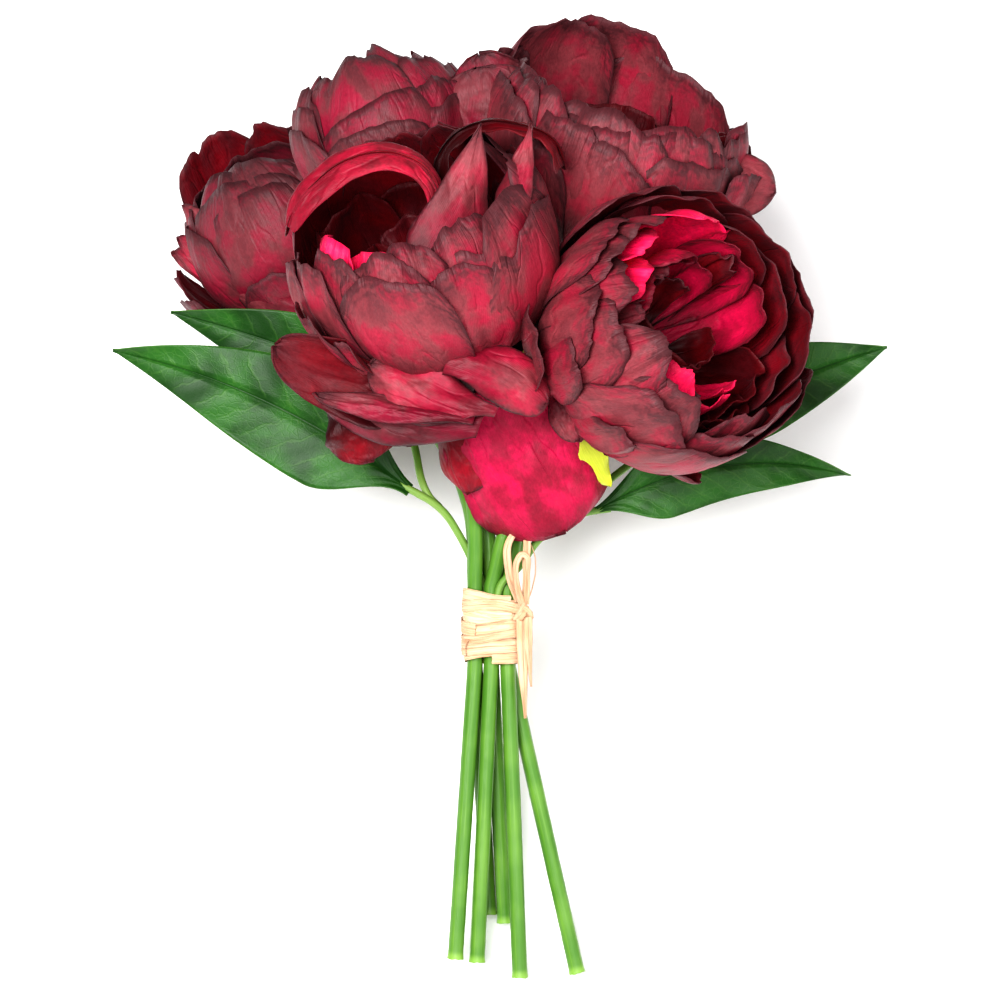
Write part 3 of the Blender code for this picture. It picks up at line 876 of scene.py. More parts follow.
# %% [markdown]
# ## One tree for every rod and strip
# Stems, leaf stalks, calyxes, rolled rims and raffia all follow a path. The path is drawn as a
# plain line of points; the tree turns it into a curve and sweeps a closed outline along it.
# Flatness turns the round rod into a strip, and each point carries its own girth and facing.

# %% Inputs of the rod tree
ROD_INPUTS = {
    "Radius": 2.5, "Flatness": 1.0, "Sides": 16, "Spacing": 2.5, "Bumps": 0.0, "Creases": 0.0,
    "Crease count": 5.0, "Lip": 0.0, "Ragged": 0.0, "Seed": 1,
}
LIP_LENGTH = 2.2


def rod_tree():
    """A closed outline swept along a path."""
    tree, given = new_geometry_tree("path_rod", ROD_INPUTS, "Path")
    line = add_node(tree, "GeometryNodeMeshToCurve", Mesh=given["Path"])
    even = add_node(
        tree, "GeometryNodeResampleCurve", {"mode": "LENGTH"},
        Curve=output(line, "Curve"), Length=given["Spacing"],
    )
    step = tree.nodes.new("GeometryNodeSplineParameter")
    path = store(tree, output(even, "Curve"), "along", output(step, "Factor"))
    path = store(tree, path, "cloth_y", output(step, "Length"))
    tangent = output(tree.nodes.new("GeometryNodeInputTangent"), "Tangent")
    path = store(tree, path, "way", tangent, "FLOAT_VECTOR")
    path = output(add_node(
        tree, "GeometryNodeSetCurveNormal", {"mode": "FREE"},
        Curve=path, Normal=recall(tree, "facing", "FLOAT_VECTOR"),
    ), "Curve")

    circle = add_node(tree, "GeometryNodeCurvePrimitiveCircle", Resolution=given["Sides"], Radius=1.0)
    turn = output(tree.nodes.new("GeometryNodeSplineParameter"), "Factor")
    outline = store(tree, output(circle, "Curve"), "across", turn)
    outline = changed(tree, "Transform", outline, Scale=vector(tree, given["Flatness"], 1.0, 1.0))
    along = recall(tree, "along")
    lip = 1.0 - recall(tree, "cloth_y").ramp(0.0, LIP_LENGTH)
    girth = given["Radius"] * recall(tree, "girth") * (1.0 + given["Lip"] * lip)
    swept = add_node(
        tree, "GeometryNodeCurveToMesh",
        Curve=path, Profile_Curve=outline, Scale=girth, Fill_Caps=True,
    )
    geometry = output(swept, "Mesh")
    geometry = store(tree, geometry, "cloth_x", recall(tree, "across") * given["Radius"] * math.tau)

    place = output(tree.nodes.new("GeometryNodeInputPosition"), "Position")
    lumps = cloudiness(tree, scaled(tree, place, 0.25), 1.0, 2.0) - 0.5
    wander = clouds(tree, along * 4.0, given["Seed"] * 3.3, 0.0, 1.0)
    creases = (recall(tree, "across") * math.tau * given["Crease count"] + wander * 9.0).sin()
    outward = output(tree.nodes.new("GeometryNodeInputNormal"), "Normal")
    swell = lumps * given["Bumps"] * 2.0 + creases * given["Creases"]
    geometry = changed(tree, "SetPosition", geometry, Offset=scaled(tree, outward, swell))
    tears = cloudiness(tree, scaled(tree, place, 0.9), 1.0, 3.0) - 0.5
    way = recall(tree, "way", "FLOAT_VECTOR")
    torn = scaled(tree, way, tears * given["Ragged"] * lip)
    geometry = changed(tree, "SetPosition", geometry, Offset=torn)
    finish_tree(tree, geometry, given["Material"])
    return tree


ROD_TREE = rod_tree()
print("rod tree nodes:", len(ROD_TREE.nodes))

# %% Paths
ROUTE_STEPS = 10


def path_mesh(name, points, facings=None, girths=None):
    """A line of points, each with the way its flat side faces and its girth."""
    mesh = bpy.data.meshes.new(name)
    count = len(points)
    mesh.from_pydata(points, [(number, number + 1) for number in range(count - 1)], [])
    mesh.attributes.new("facing", "FLOAT_VECTOR", "POINT")
    mesh.attributes.new("girth", "FLOAT", "POINT")
    for number in range(count):
        facing = facings[number] if facings else (0, 0, 1)
        mesh.attributes["facing"].data[number].vector = facing
        mesh.attributes["girth"].data[number].value = girths[number] if girths else 1.0
    return mesh


def smooth_path(points, straight=()):
    """Points along a smooth curve through the given ones; corners stay sharp where asked."""
    curve = bpy.data.curves.new("route", "CURVE")
    curve.dimensions = "3D"
    curve.resolution_u = ROUTE_STEPS
    spline = curve.splines.new("BEZIER")
    spline.bezier_points.add(len(points) - 1)
    for number, (knot, point) in enumerate(zip(spline.bezier_points, points)):
        knot.co = point
        kind = "VECTOR" if number in straight else "AUTO"
        knot.handle_left_type = knot.handle_right_type = kind
    mesh = plain_mesh(new_object("route", curve))
    found = [tuple(vertex.co) for vertex in mesh.vertices]
    bpy.data.meshes.remove(mesh)
    return found


def rod(name, points, material, slot, stands_for=(), facings=None, girths=None, **values):
    """A rod or strip along a path, as one finished piece."""
    seedling = path_mesh(name, points, facings, girths)
    named = {key.replace("_", " ").capitalize(): value for key, value in values.items()}
    mesh = grow_mesh(name, ROD_TREE, named, material, seedling)
    return finish_piece(name, mesh, Matrix.Identity(4), stands_for)


# %% Two rolled rims in the front head, each on a standing wall
NEAR_RIM = [
    (-64.5, 237, 56), (-61.5, 243, 60), (-55, 250, 61), (-44, 257, 62), (-31, 258, 62),
    (-22, 252, 61), (-19.6, 244, 60), (-21, 236, 58),
]
NEAR_MIDDLE = Vector((-42, 234, 40))
FAR_RIM = [
    (-19, 252, 52), (-16, 262, 54), (-6, 268.5, 54), (6, 268, 53), (15, 264, 51), (18.5, 256, 48),
]
FAR_MIDDLE = Vector((0, 240, 40))


def rolled_rim(name, route, middle, upward, girths, material, **values):
    """A strip along the route, which faces away from the middle and somewhat upward."""
    rise = Vector((0, 0, upward))
    rod(
        name, route, material, "outer_petal", girths=girths, sides=24,
        facings=[tuple((Vector(point) - middle).normalized() + rise) for point in route],
        **values,
    )


def standing_wall(name, route, middle, depth, material, seed):
    """The upright part of a petal below its rolled rim."""
    away = [(Vector(point) - middle).to_2d().normalized().to_3d() for point in route]
    down = Vector((0, 0, depth * 0.85))
    last = len(route) - 1
    rod(
        name, [tuple(Vector(point) + way * 1.5 - down) for point, way in zip(route, away)],
        material, "outer_petal", facings=[tuple(way) for way in away],
        girths=[0.35 + 0.65 * math.sin(math.pi * number / last) ** 0.5 for number in range(last + 1)],
        radius=depth, flatness=0.07, sides=24, spacing=1.5, creases=0.10, crease_count=4.0, bumps=0.4,
        seed=seed,
    )


near_route = smooth_path(NEAR_RIM)
shares = [number / (len(near_route) - 1) for number in range(len(near_route))]
rolled_rim(
    "peony_front_arching_rim", near_route, NEAR_MIDDLE, 0.7,
    [0.45 + 0.75 * math.sin(math.pi * share ** 0.75) - 0.2 * share for share in shares], arch_satin,
    radius=5.2, flatness=0.16, spacing=1.5, creases=0.10, crease_count=4.0, bumps=0.3, seed=3,
)
standing_wall("peony_front_arching_wall", near_route, NEAR_MIDDLE, 12.0, wine_satin, 4)

far_route = smooth_path(FAR_RIM)
rolled_rim(
    "peony_front_far_rim", far_route, FAR_MIDDLE, 0.3,
    [0.7 + 0.4 * math.sin(number * 0.35) ** 2 for number in range(len(far_route))], inner_satin,
    radius=3.6, flatness=0.14, spacing=1.2, creases=0.12, crease_count=3.0, bumps=0.5, seed=5,
)
standing_wall("peony_front_far_wall", far_route, FAR_MIDDLE, 9.0, dark_satin, 6)
print("points on the rims:", len(near_route), len(far_route))

# %% [markdown]
# ## Stems
# Soft plastic over a wire, moulded a little unevenly, and cut with shears at the foot: the cut
# leaves a slightly flared, ragged lip of paler plastic.

# %% Plastic


def plastic(name, colour, pale, roughness=0.42, cut=True):
    """Green plastic with faint streaks, paler at the cut end."""

    def build(tree):
        place = output(tree.nodes.new("ShaderNodeTexCoord"), "Object")
        across, along, from_foot = attributes(tree, "across", "along", "cloth_y")
        streaks = clouds(tree, across * 9.0, along * 6.0, 0.0, 3.0)
        blotches = cloudiness(tree, place, 60.0, 2.0)
        paleness = streaks.ramp(0.35, 0.75) * 0.35 + blotches.ramp(0.4, 0.7) * 0.3
        if cut:
            paleness = paleness + (1.0 - from_foot.ramp(0.6, 3.0)) * 0.8
        mixed = blend(tree, paleness.math("MINIMUM", 1.0), (*colour, 1.0), (*pale, 1.0))
        return mixed, streaks + blotches * 0.6, 0.5, 0.3

    return surface(name, build, Roughness=roughness, Specular_IOR_Level=0.4)


stem_plastic = plastic("stem_plastic", (0.068, 0.180, 0.022), (0.19, 0.34, 0.06), 0.36)
stalk_plastic = plastic("stalk_plastic", (0.12, 0.25, 0.04), (0.30, 0.38, 0.12), cut=False)
calyx_plastic = plastic("calyx_plastic", (0.42, 0.48, 0.03), (0.62, 0.62, 0.08), cut=False)

# %% Stems and calyxes
# Each stem has its route, the centre and radius of its head, and the way its calyx points.
STEMS = {
    "front": (
        [(-14.4, 6, 4), (-8.1, 100.5, 2.65), (-8.1, 125.5, 2.85), (-8.3, 150, 7), (-11.5, 170, 13)],
        (-24, 232, 45), 39.5, (-0.15, 0.87, 0.46),
    ),
    "front_right": (
        [(-7.4, 4.8, 2.5), (-2.8, 100.5, 2.65), (-2.8, 125.5, 2.85), (3.8, 149, 5.5), (17, 171, -3)],
        (54, 206, 44), 41, (0.45, 0.25, 0.85),
    ),
    "upper_right": (
        [(6.4, 0, 3), (2.5, 100.5, 2.65), (2.5, 125.5, 2.65), (6, 150, -3), (13, 190, -16)],
        (38, 275, -5), 43, (0.26, 0.93, 0.18),
    ),
    "back": (
        [(25, 0.6, -3.2), (2.5, 100.5, -2.65), (2.5, 125.5, -2.65), (7, 145, -9), (15, 170, -21)],
        (28, 220, -60), 33, (0.10, 0.60, -0.75),
    ),
    "upper_left": (
        [(1.6, 16.6, -5), (-2.8, 100.5, -2.65), (-2.8, 125.5, -2.65), (-5, 150, -2.5), (-14, 190, -4)],
        (-38, 275, -10), 28.5, (-0.20, 0.95, 0.10),
    ),
    "left": (
        [(-3.5, 19, -7), (-8.1, 100.5, -2.65), (-8.1, 125.5, -2.65), (-10, 152, -8), (-27, 185, -29)],
        (-72, 245, -68), 34, (-0.50, 0.80, 0.30),
    ),
}
CALYX_BASE = 9.3
NECK_REACHES = (18.6, 9.6)
# A calyx's height above its base, and its girth there.
CALYX_OUTLINE = [
    (0, 1.0), (1.0, 1.02), (4.0, 1.15), (6.2, 1.5), (7.6, 2.4), (8.8, 3.3), (9.6, 3.9), (10.0, 4.1),
]
for title, (route, centre, head_radius, axis) in STEMS.items():
    axis = Vector(axis).normalized()
    middle = Vector(centre)
    necks = [middle - axis * (head_radius + reach) for reach in NECK_REACHES]
    name = f"peony_{title}_stem"
    rod(
        name, smooth_path(route + necks, straight=(1, 2)), stem_plastic, "stem", [name],
        radius=2.5, lip=0.10, ragged=1.6, bumps=0.12, spacing=1.6, sides=18,
    )
    base = head_radius + CALYX_BASE
    rod(
        f"peony_{title}_calyx", [tuple(middle - axis * (base - height)) for height, girth in CALYX_OUTLINE],
        calyx_plastic, "calyx", [f"peony_{title}_calyx"],
        girths=[girth for height, girth in CALYX_OUTLINE], radius=2.75, spacing=0.5, sides=20, bumps=0.2,
    )
print("stems and calyxes:", 2 * len(STEMS))

# %% [markdown]
# ## One tree for leaves and loose petals
# A leaf and a loose petal are both one flat blade, bent along its length and folded or cupped
# across it. The tree takes the outline, the bends and the relief of the veins as inputs.

# %% The blade tree
BLADE_INPUTS = {
    "Length": 100.0, "Width": 36.0, "Claw": 0.1, "Shoulder": 0.4, "Full": 0.35, "Power": 1.7,
    "Blunt": 0.9, "Bend": 0.3, "Arch": 0.0, "Sway": 0.0, "Fold": 0.18, "Cup": 0.0,
    "Roll left": 0.0, "Roll right": 0.0, "Wave": 1.0, "Waves": 2.0, "Crumple": 0.0,
    "Frayed": 0.0, "Ragged": 0.0, "Veins": 0.0, "Vein count": 9.0, "Dust": 0.0, "Seed": 1,
    "Steps across": 28, "Steps along": 56,
}


def blade_tree():
    """One flat grid, cut to an outline and bent."""
    tree, given = new_geometry_tree("blade", BLADE_INPUTS)
    sheet, column, row = ruled_sheet(tree, given)
    geometry = store(tree, sheet, "across", column)
    geometry = store(tree, geometry, "along", row)
    across, along = recall(tree, "across"), recall(tree, "along")
    side = across.abs()
    seed = given["Seed"] * 4.7

    # The outline: narrow at the claw, full in the middle, pointed or blunt at the tip.
    shoulders = given["Claw"] + (1.0 - given["Claw"]) * along.ramp(0.0, given["Shoulder"])
    past_full = ((along - given["Full"]) / (1.0 - given["Full"])).math("MAXIMUM", 0.0)
    tip = (1.0 - past_full ** given["Power"]).math("MAXIMUM", 0.0) ** given["Blunt"]
    sign = across.math("SIGN")
    ragged = clouds(tree, along * 5.0, sign * 3.0 + seed, 0.0, 3.0) - 0.5
    half_width = given["Width"] * 0.5 * (shoulders * tip).math("MAXIMUM", 0.02)
    half_width = half_width * (1.0 + given["Ragged"] * ragged * 2.0)

    # The way it bends along its length.
    frayed = clouds(tree, across * 3.0, seed, 0.0, 4.0) - 0.5
    reach = along * (1.0 + given["Frayed"] * frayed * 2.0)
    bend = given["Bend"]
    forward = given["Length"] * (bend * reach).sin() / bend
    arc = given["Length"] * (1.0 - (bend * reach).cos()) / bend
    arc = arc + given["Length"] * given["Arch"] * along * (1.0 - along)

    # What lifts it across its width: folds, rolled edges, waves, crumples and veins.
    breadth = half_width * across
    rise = given["Fold"] * breadth.abs() + given["Cup"] * breadth * across
    left = (across * -1.0).ramp(0.35, 1.0)
    right = across.ramp(0.35, 1.0)
    rolls = left * left * given["Roll left"], right * right * given["Roll right"]
    rise = rise + (rolls[0] + rolls[1]) * half_width
    breadth = breadth + half_width * 0.55 * (rolls[0].abs() - rolls[1].abs())

    waves = (along * given["Waves"] * math.tau + sign * 1.3 + seed).sin()
    crumple = clouds(tree, across * 1.7, along * 3.0, seed, 2.0) - 0.5
    rise = rise + waves * side * side * given["Wave"]
    rise = rise + crumple * given["Crumple"] * 2.0 * along.ramp(0.0, 0.4)
    vein_phase = (along - side * 0.22 * (1.2 - along)) * given["Vein count"] * math.tau
    ribs = vein_phase.cos() * side.ramp(0.02, 0.15) * (1.0 - side.ramp(0.75, 1.0))
    midrib = 1.0 - side.ramp(0.0, 0.12)
    rise = rise - (ribs * 0.4 + midrib * 2.2) * given["Veins"] * (1.0 - along.ramp(0.85, 1.0))

    breadth = breadth + given["Sway"] * 4.0 * along * (1.0 - along)
    spot = vector(tree, breadth, forward, arc + rise)
    geometry = store(tree, geometry, "petal", given["Seed"] * 1.0)
    geometry = store(tree, geometry, "dust", given["Dust"])
    geometry = store(tree, geometry, "cloth_x", half_width * across)
    geometry = store(tree, geometry, "cloth_y", along * given["Length"])
    finish_tree(tree, changed(tree, "SetPosition", geometry, Position=spot), given["Material"])
    return tree


BLADE_TREE = blade_tree()
print("blade tree nodes:", len(BLADE_TREE.nodes))


def frame_along(origin, forward, faces):
    """A frame at origin whose Y runs forward and whose Z is as near to faces as it can be."""
    y_axis = Vector(forward).normalized()
    x_axis = y_axis.cross(Vector(faces)).normalized()
    turn = Matrix((x_axis, y_axis, x_axis.cross(y_axis))).transposed().to_4x4()
    return Matrix.Translation(Vector(origin)) @ turn


def blade(name, base, tip, faces, materials, slot, stands_for=(), **values):
    """A leaf or petal from base to tip: the first material shows on top, the second beneath."""
    forward = Vector(tip) - Vector(base)
    named = {key.replace("_", " ").capitalize(): value for key, value in values.items()}
    named["Length"] = forward.length
    mesh = grow_mesh(name, BLADE_TREE, named, materials[0], bpy.data.meshes.new(name))
    piece = finish_piece(name, mesh, frame_along(base, forward, faces), stands_for)
    give_thickness(piece, materials, BLADE_THICKNESS)


# %% [markdown]
# ## Leaves
# The cloth is coated to a soft shine and pressed with a sunken midrib, which is darker, and
# side veins, which are paler; the cut edge shows a thin pale line.

# %% Leaf cloth


def leaf_cloth(name, colour, deep, vein, roughness):
    """Coated cloth: blotched green, pale veins and cut edge, and a sunken midrib."""

    def build(tree):
        across, along, leaf = attributes(tree, "across", "along", "petal")
        cloth_x, cloth_y = attributes(tree, "cloth_x", "cloth_y")
        blotches = clouds(tree, cloth_x * 0.07, cloth_y * 0.05, leaf, 3.0)
        green = blend(tree, blotches.ramp(0.35, 0.65), (*deep, 1.0), (*colour, 1.0))
        side = across.abs()
        bent = clouds(tree, cloth_x * 0.2, cloth_y * 0.2, 7.0, 2.0) - 0.5
        phase = (along - side * 0.22 * (1.2 - along) + bent * 0.05) * 10.0 * math.tau
        ribs = phase.cos().ramp(0.90, 1.0) * side.ramp(0.03, 0.12) * (1.0 - side.ramp(0.7, 0.95))
        cells = add_node(tree, "ShaderNodeTexVoronoi", {"feature": "DISTANCE_TO_EDGE"}, Scale=1.0)
        cell_place = vector(tree, cloth_x * 0.5 + bent, cloth_y * 0.38 + bent, 0.0)
        plug(tree, cells.inputs["Vector"], cell_place)
        network = 1.0 - Field(tree, cells.outputs["Distance"]).ramp(0.0, 0.09)
        lines = ribs * 0.16 + network * blotches.ramp(0.3, 0.6) * 0.15
        border = side ** 60.0
        green = blend(tree, (lines + border * 0.5).math("MINIMUM", 1.0), green, (*vein, 1.0))
        groove = 1.0 - side.ramp(0.0, 0.045)
        green = blend(tree, groove * 0.75, green, (*deep, 1.0))
        grain = clouds(tree, cloth_x * 2.0, cloth_y * 2.0, 0.0, 2.0)
        return green, grain * 0.5 + lines * 2.0 - groove * 1.5, 0.30, 0.4

    return surface(name, build, Roughness=roughness, Specular_IOR_Level=0.3)


leaf_top = leaf_cloth("leaf_top", (0.024, 0.105, 0.013), (0.008, 0.045, 0.004), (0.09, 0.20, 0.04), 0.46)
leaf_under = leaf_cloth("leaf_under", (0.10, 0.20, 0.07), (0.07, 0.15, 0.05), (0.18, 0.28, 0.12), 0.6)
LEAF = (leaf_top, leaf_under)

# %% Leaves and their stalks
# Each leaf has its base and tip, the way it faces, how far it arches, its shape and its stalk.
LEAVES = {
    "left_lower": (
        (-28.8, 156.8, 6), (-125.4, 202, -6), (0.05, -0.1, 1), 22,
        dict(width=36, sway=6.5, wave=1.6, waves=1.7, seed=2),
        [(-5.45, 114, 0), (-5.45, 125.5, 0), (-8.6, 133, -0.3), (-13, 142, 0.5), (-19, 150.6, 2.5)],
    ),
    "left_upper": (
        (-35, 190, -8), (-107.2, 215, -12), (0, -0.3, 1), 14,
        dict(width=27, sway=2.0, wave=1.2, waves=1.5, seed=5),
        [(-19.5, 151.2, 1.6), (-23.2, 155.3, 3), (-28, 172, -4)],
    ),
    "right_lower": (
        (31, 150, -6), (114.2, 161.6, -14), (0, -0.2, 1), 16,
        dict(width=25, sway=-9.5, wave=1.6, waves=1.8, seed=9),
        [(-0.15, 114, 5.4), (-0.15, 125.5, 5.4), (6, 132, 6), (13, 141.4, 4.6), (22, 147.6, -1)],
    ),
    "right_upper": (
        (62, 178, -14), (125.8, 203.2, -8), (0, -0.1, 1), 12,
        dict(width=29, sway=-2.0, wave=1.2, waves=1.4, seed=12),
        [(21.5, 147.9, -1.6), (25.2, 151.2, -3.6), (42, 165, -12.5)],
    ),
}
STALK_BELOW_LEAF = 0.7
STALK_REACHES = (-1, 5)
for title, (base, tip, faces, arch_degrees, shape, stalk) in LEAVES.items():
    blade(
        f"leaf_{title}", base, tip, faces, LEAF, "leaf", [f"leaf_{title}"],
        claw=0.10, shoulder=0.30, full=0.34, power=1.5, blunt=1.0, bend=0.02,
        arch=math.radians(arch_degrees) / 2, fold=0.16, veins=0.35, **shape,
    )
    forward = (Vector(tip) - Vector(base)).normalized()
    under = Vector(faces).normalized() * STALK_BELOW_LEAF
    route = stalk + [tuple(Vector(base) + forward * reach - under) for reach in STALK_REACHES]
    name = f"leaf_{title}_stalk"
    rod(
        name, smooth_path(route), stalk_plastic, "stem", [name],
        radius=1.25, sides=12, spacing=1.5, bumps=0.1,
    )
print("leaves:", len(LEAVES))

# %% [markdown]
# ## Loose petals and sepals
# Loose guard petals hang from the calyxes in front: a bright one over the stems with its edge
# rolled in, one that lies across it folded into lobes, and ones at its sides in the deep-red
# cloths that are painted dark as painted shade. Others stand inside the front head or spread
# from the heads behind it. Sepals, yellow-green tongues of plastic cloth, show where the flowers part.

# %% A petal on its own
SOFT = dict(claw=0.35, shoulder=0.5, full=0.5, power=2.4, blunt=0.5, fold=0.0, frayed=0.04, ragged=0.08)
LOBE = {**SOFT, "crumple": 2.0, "waves": 1.3}
SPREAD = {**LOBE, "claw": 0.6, "shoulder": 0.4, "power": 2.6, "blunt": 0.5}
POINTED = dict(claw=0.8, shoulder=0.3, full=0.2, power=1.3, blunt=1.0, fold=0.0, frayed=0.02, ragged=0.05)
SEPAL = dict(claw=0.6, shoulder=0.3, full=0.3, power=2.0, blunt=0.7, fold=0.1, bend=-0.3, cup=-0.2)
SHADED = (inner_satin, dark_satin)
WINE = (wine_satin, dark_satin)
BRIGHT = (hanging_satin, inner_satin)
GREEN = (calyx_plastic, calyx_plastic)
loose_names = []


def loose(name, base, tip, faces, materials, width, seed, kind=LOBE, slot="outer_petal", **own):
    """A loose petal or sepal: its own values win over those of its kind."""
    stands_for = [name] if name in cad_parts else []
    shape = {**kind, "width": width, "seed": seed, **own}
    blade(name, base, tip, faces, materials, slot, stands_for, **shape)
    loose_names.append(name)


# %% The bright petal
loose(
    "peony_front_drooping_bright", (-2, 190, 33), (22.5, 141.0, 23), (-0.1, 0.25, 1), BRIGHT, 54, 3,
    SOFT, "bright_petal", bend=-0.35, cup=-0.18, roll_left=-0.25, roll_right=-0.2, wave=2.2,
    waves=2.6, crumple=3.0, dust=0.05, claw=0.75, shoulder=0.3, full=0.6, power=2.6, blunt=0.42,
)
loose(
    "peony_front_bright_roll", (-17, 180, 28), (-12.2, 154.2, 24), (-0.6, 0.2, 1), WINE, 21, 4,
    SOFT, "bright_petal", bend=-0.3, cup=-0.7, wave=1.0, waves=1.5, crumple=1.5, dust=-0.5, claw=0.7,
)

# %% The folded petal, lobe by lobe
loose(
    "peony_front_drooping_folded", (-6, 177, 60), (-65.5, 198, 53), (0.1, -0.15, 1), SHADED_OUTER, 19, 6,
    sway=-7.5, bend=-0.3, cup=-0.5, wave=1.6, dust=0.2, claw=0.5, waves=2.2,
)
loose(
    "peony_front_folded_lip", (-8, 178, 62.5), (-57, 189, 61), (0, 0.6, 1), SHADED_OUTER, 9, 7,
    sway=-1.0, bend=-0.2, cup=-0.4, wave=1.2, dust=0.1,
)
loose(
    "peony_front_folded_hollow", (-9, 184.5, 50), (-69, 203.6, 50), (0, -0.3, 1), SHADED, 25, 8,
    sway=-4.0, bend=0.3, cup=0.35, wave=2.5, dust=0.4, claw=0.6,
)
loose(
    "peony_front_folded_middle", (-1.0, 180.5, 61.5), (-40, 196.5, 65), (0.1, 0.1, 1), OUTSIDE, 20, 16,
    sway=-2.0, bend=-0.4, cup=-0.4, wave=2.0, claw=0.15, waves=2.2,
)
loose(
    "peony_front_folded_right", (-16, 197, 64), (16, 184.5, 68), (0.2, 0.1, 1), OUTSIDE, 18, 9,
    sway=-2.5, bend=-0.6, cup=-0.5, wave=1.6, claw=0.55, power=3.0, blunt=0.45,
)

# %% Petals at their sides and behind them
loose(
    "peony_front_drooping_low_left", (-46, 182, 46), (-39, 165, 42), (-0.2, 0.2, 1), SHADED, 25, 10,
    bend=-0.4, cup=-0.3, wave=2.4, dust=-0.1, claw=0.7, waves=1.6, frayed=0.10,
)
loose(
    "peony_front_low_left_lobe", (-30, 182, 42), (-27, 170, 39), (0.2, 0.2, 1), WINE, 13, 17,
    bend=-0.4, cup=-0.4, wave=1.0, dust=0.2,
)
loose(
    "peony_front_right_guard_small", (16, 190, 36), (24, 172, 40), (-0.3, 0.1, 1), OUTSIDE, 12, 11,
    bend=-0.3, cup=-0.4, wave=0.5,
)
# A petal in the nearly black cloth fills the gap behind the front heads: painted shade.
loose(
    "peony_back_front_petal", (2, 206, 2), (10, 174, 0), (0, 0, 1), HOLLOW_SHADE, 44, 12,
    bend=-0.4, cup=-0.3, wave=1.5,
)

# %% Petals beside the two upper heads
loose(
    "peony_upper_right_side_petal", (0, 262, 8), (-8.5, 291, 16), (-0.2, 0.1, 1), SHADED_OUTER, 35, 18,
    SPREAD, bend=-0.5, cup=-0.25, wave=1.0, dust=0.35,
)
loose(
    "peony_upper_right_side_ruffle", (4, 262, 3), (-7, 296.5, 8), (-0.1, 0.1, 1), SHADED_OUTER, 28, 19,
    SPREAD, bend=-0.3, cup=-0.2, wave=2.4, waves=3.0, frayed=0.10, ragged=0.2,
)
loose(
    "peony_upper_right_low_petal", (60, 260, 12), (89, 252.5, 6), (0.0, -0.1, 1), OUTSIDE, 22, 25,
    SPREAD, sway=1.5, bend=-0.1, cup=-0.35, wave=0.8, dust=0.3,
)
loose(
    "peony_upper_left_curled_petal", (-22, 262, 14), (-36, 293, 12), (0.6, 0.1, 1), WINE, 14, 26,
    SPREAD, sway=-2.0, bend=-0.3, cup=-0.7, roll_left=0.3, wave=0.8, dust=0.1,
)

# %% Petals splayed from the left head, and one that cups forward
# Each has its base, tip, width and dust.
SPLAYED = [
    ((-91.6, 229.4, -48), (-109.6, 252.0, -50), 10, 0.3),
    ((-89.2, 221.6, -50), (-111.4, 241.2, -53), 9, -0.1),
    ((-85.9, 218.2, -52), (-113.4, 236.3, -56), 9, -0.3),
]
for number, (base, tip, width, dust) in enumerate(SPLAYED, 1):
    loose(
        f"peony_left_splayed_petal_{number}", base, tip, (-0.4, -0.4, 0.8), OUTSIDE, width, 20 + number,
        bend=-0.3, cup=-0.6, wave=0.6, dust=dust,
    )
loose(
    "peony_left_cupped_petal", (-64, 217, -37), (-90, 231, -36), (0.15, -0.2, 1), OUTSIDE, 17, 24,
    sway=-2.0, bend=-0.6, cup=-0.6, roll_right=0.4, wave=0.6, dust=0.1, claw=0.5,
)

# %% Standing petals inside the front head
loose(
    "peony_front_dividing_petal", (-19, 220, 63), (-6.5, 268.5, 62), (0.3, 0, 1), BOTH_DUSTY, 27, 14,
    POINTED, sway=1.5, bend=0.1, cup=-0.3, crumple=1.2, wave=1.0, dust=0.35,
)
loose(
    "peony_front_right_pointed", (2, 242, 66), (10, 268.5, 58), (-0.3, 0, 1), OUTSIDE, 12, 15,
    POINTED, bend=0.15, cup=-0.5, crumple=1.5, wave=0.8, dust=0.4,
)

# %% Sepals
loose("peony_front_sepal", (10.5, 204, 18), (8.5, 189, 14), (0.3, 0, 1), GREEN, 6, 1, SEPAL, "calyx")
loose("peony_front_right_sepal", (26, 174, 22), (36, 157, 14), (0.2, 0, 1), GREEN, 9, 2, SEPAL, "calyx")
print("loose petals and sepals:", len(loose_names))

# %% [markdown]
# ## The raffia tie
# One long strip of raffia is wound round the stems and knotted; its ends hang as a loop and
# tails. Raffia is a dried leaf: flat, creased along its length, and split into fibres.

# %% Raffia fibre
def raffia_look(tree):
    """Pale fibres along the strip, in broader bands."""
    across, length = attributes(tree, "across", "cloth_y")
    fibres = clouds(tree, across * 60.0, length * 0.05, 0.0, 4.0)
    bands = clouds(tree, across * 5.0, length * 0.08, 5.0, 3.0)
    tone = fibres.ramp(0.25, 0.65) * 0.65 + bands.ramp(0.35, 0.6) * 0.35
    mixed = blend(tree, tone, (0.50, 0.245, 0.11, 1.0), (0.80, 0.54, 0.37, 1.0))
    return mixed, fibres, 1.0, 0.4


raffia = surface("raffia_fibre", raffia_look, Roughness=0.6)

# %% The wound band
TIE_CENTRE = Vector((-2.8, 113.0, 0.5))
TIE_HALF = (8.3, 6.2)
TIE_CORNER = 3.2
STEPS_PER_TURN = 40
TURN_THICKNESS = 0.10


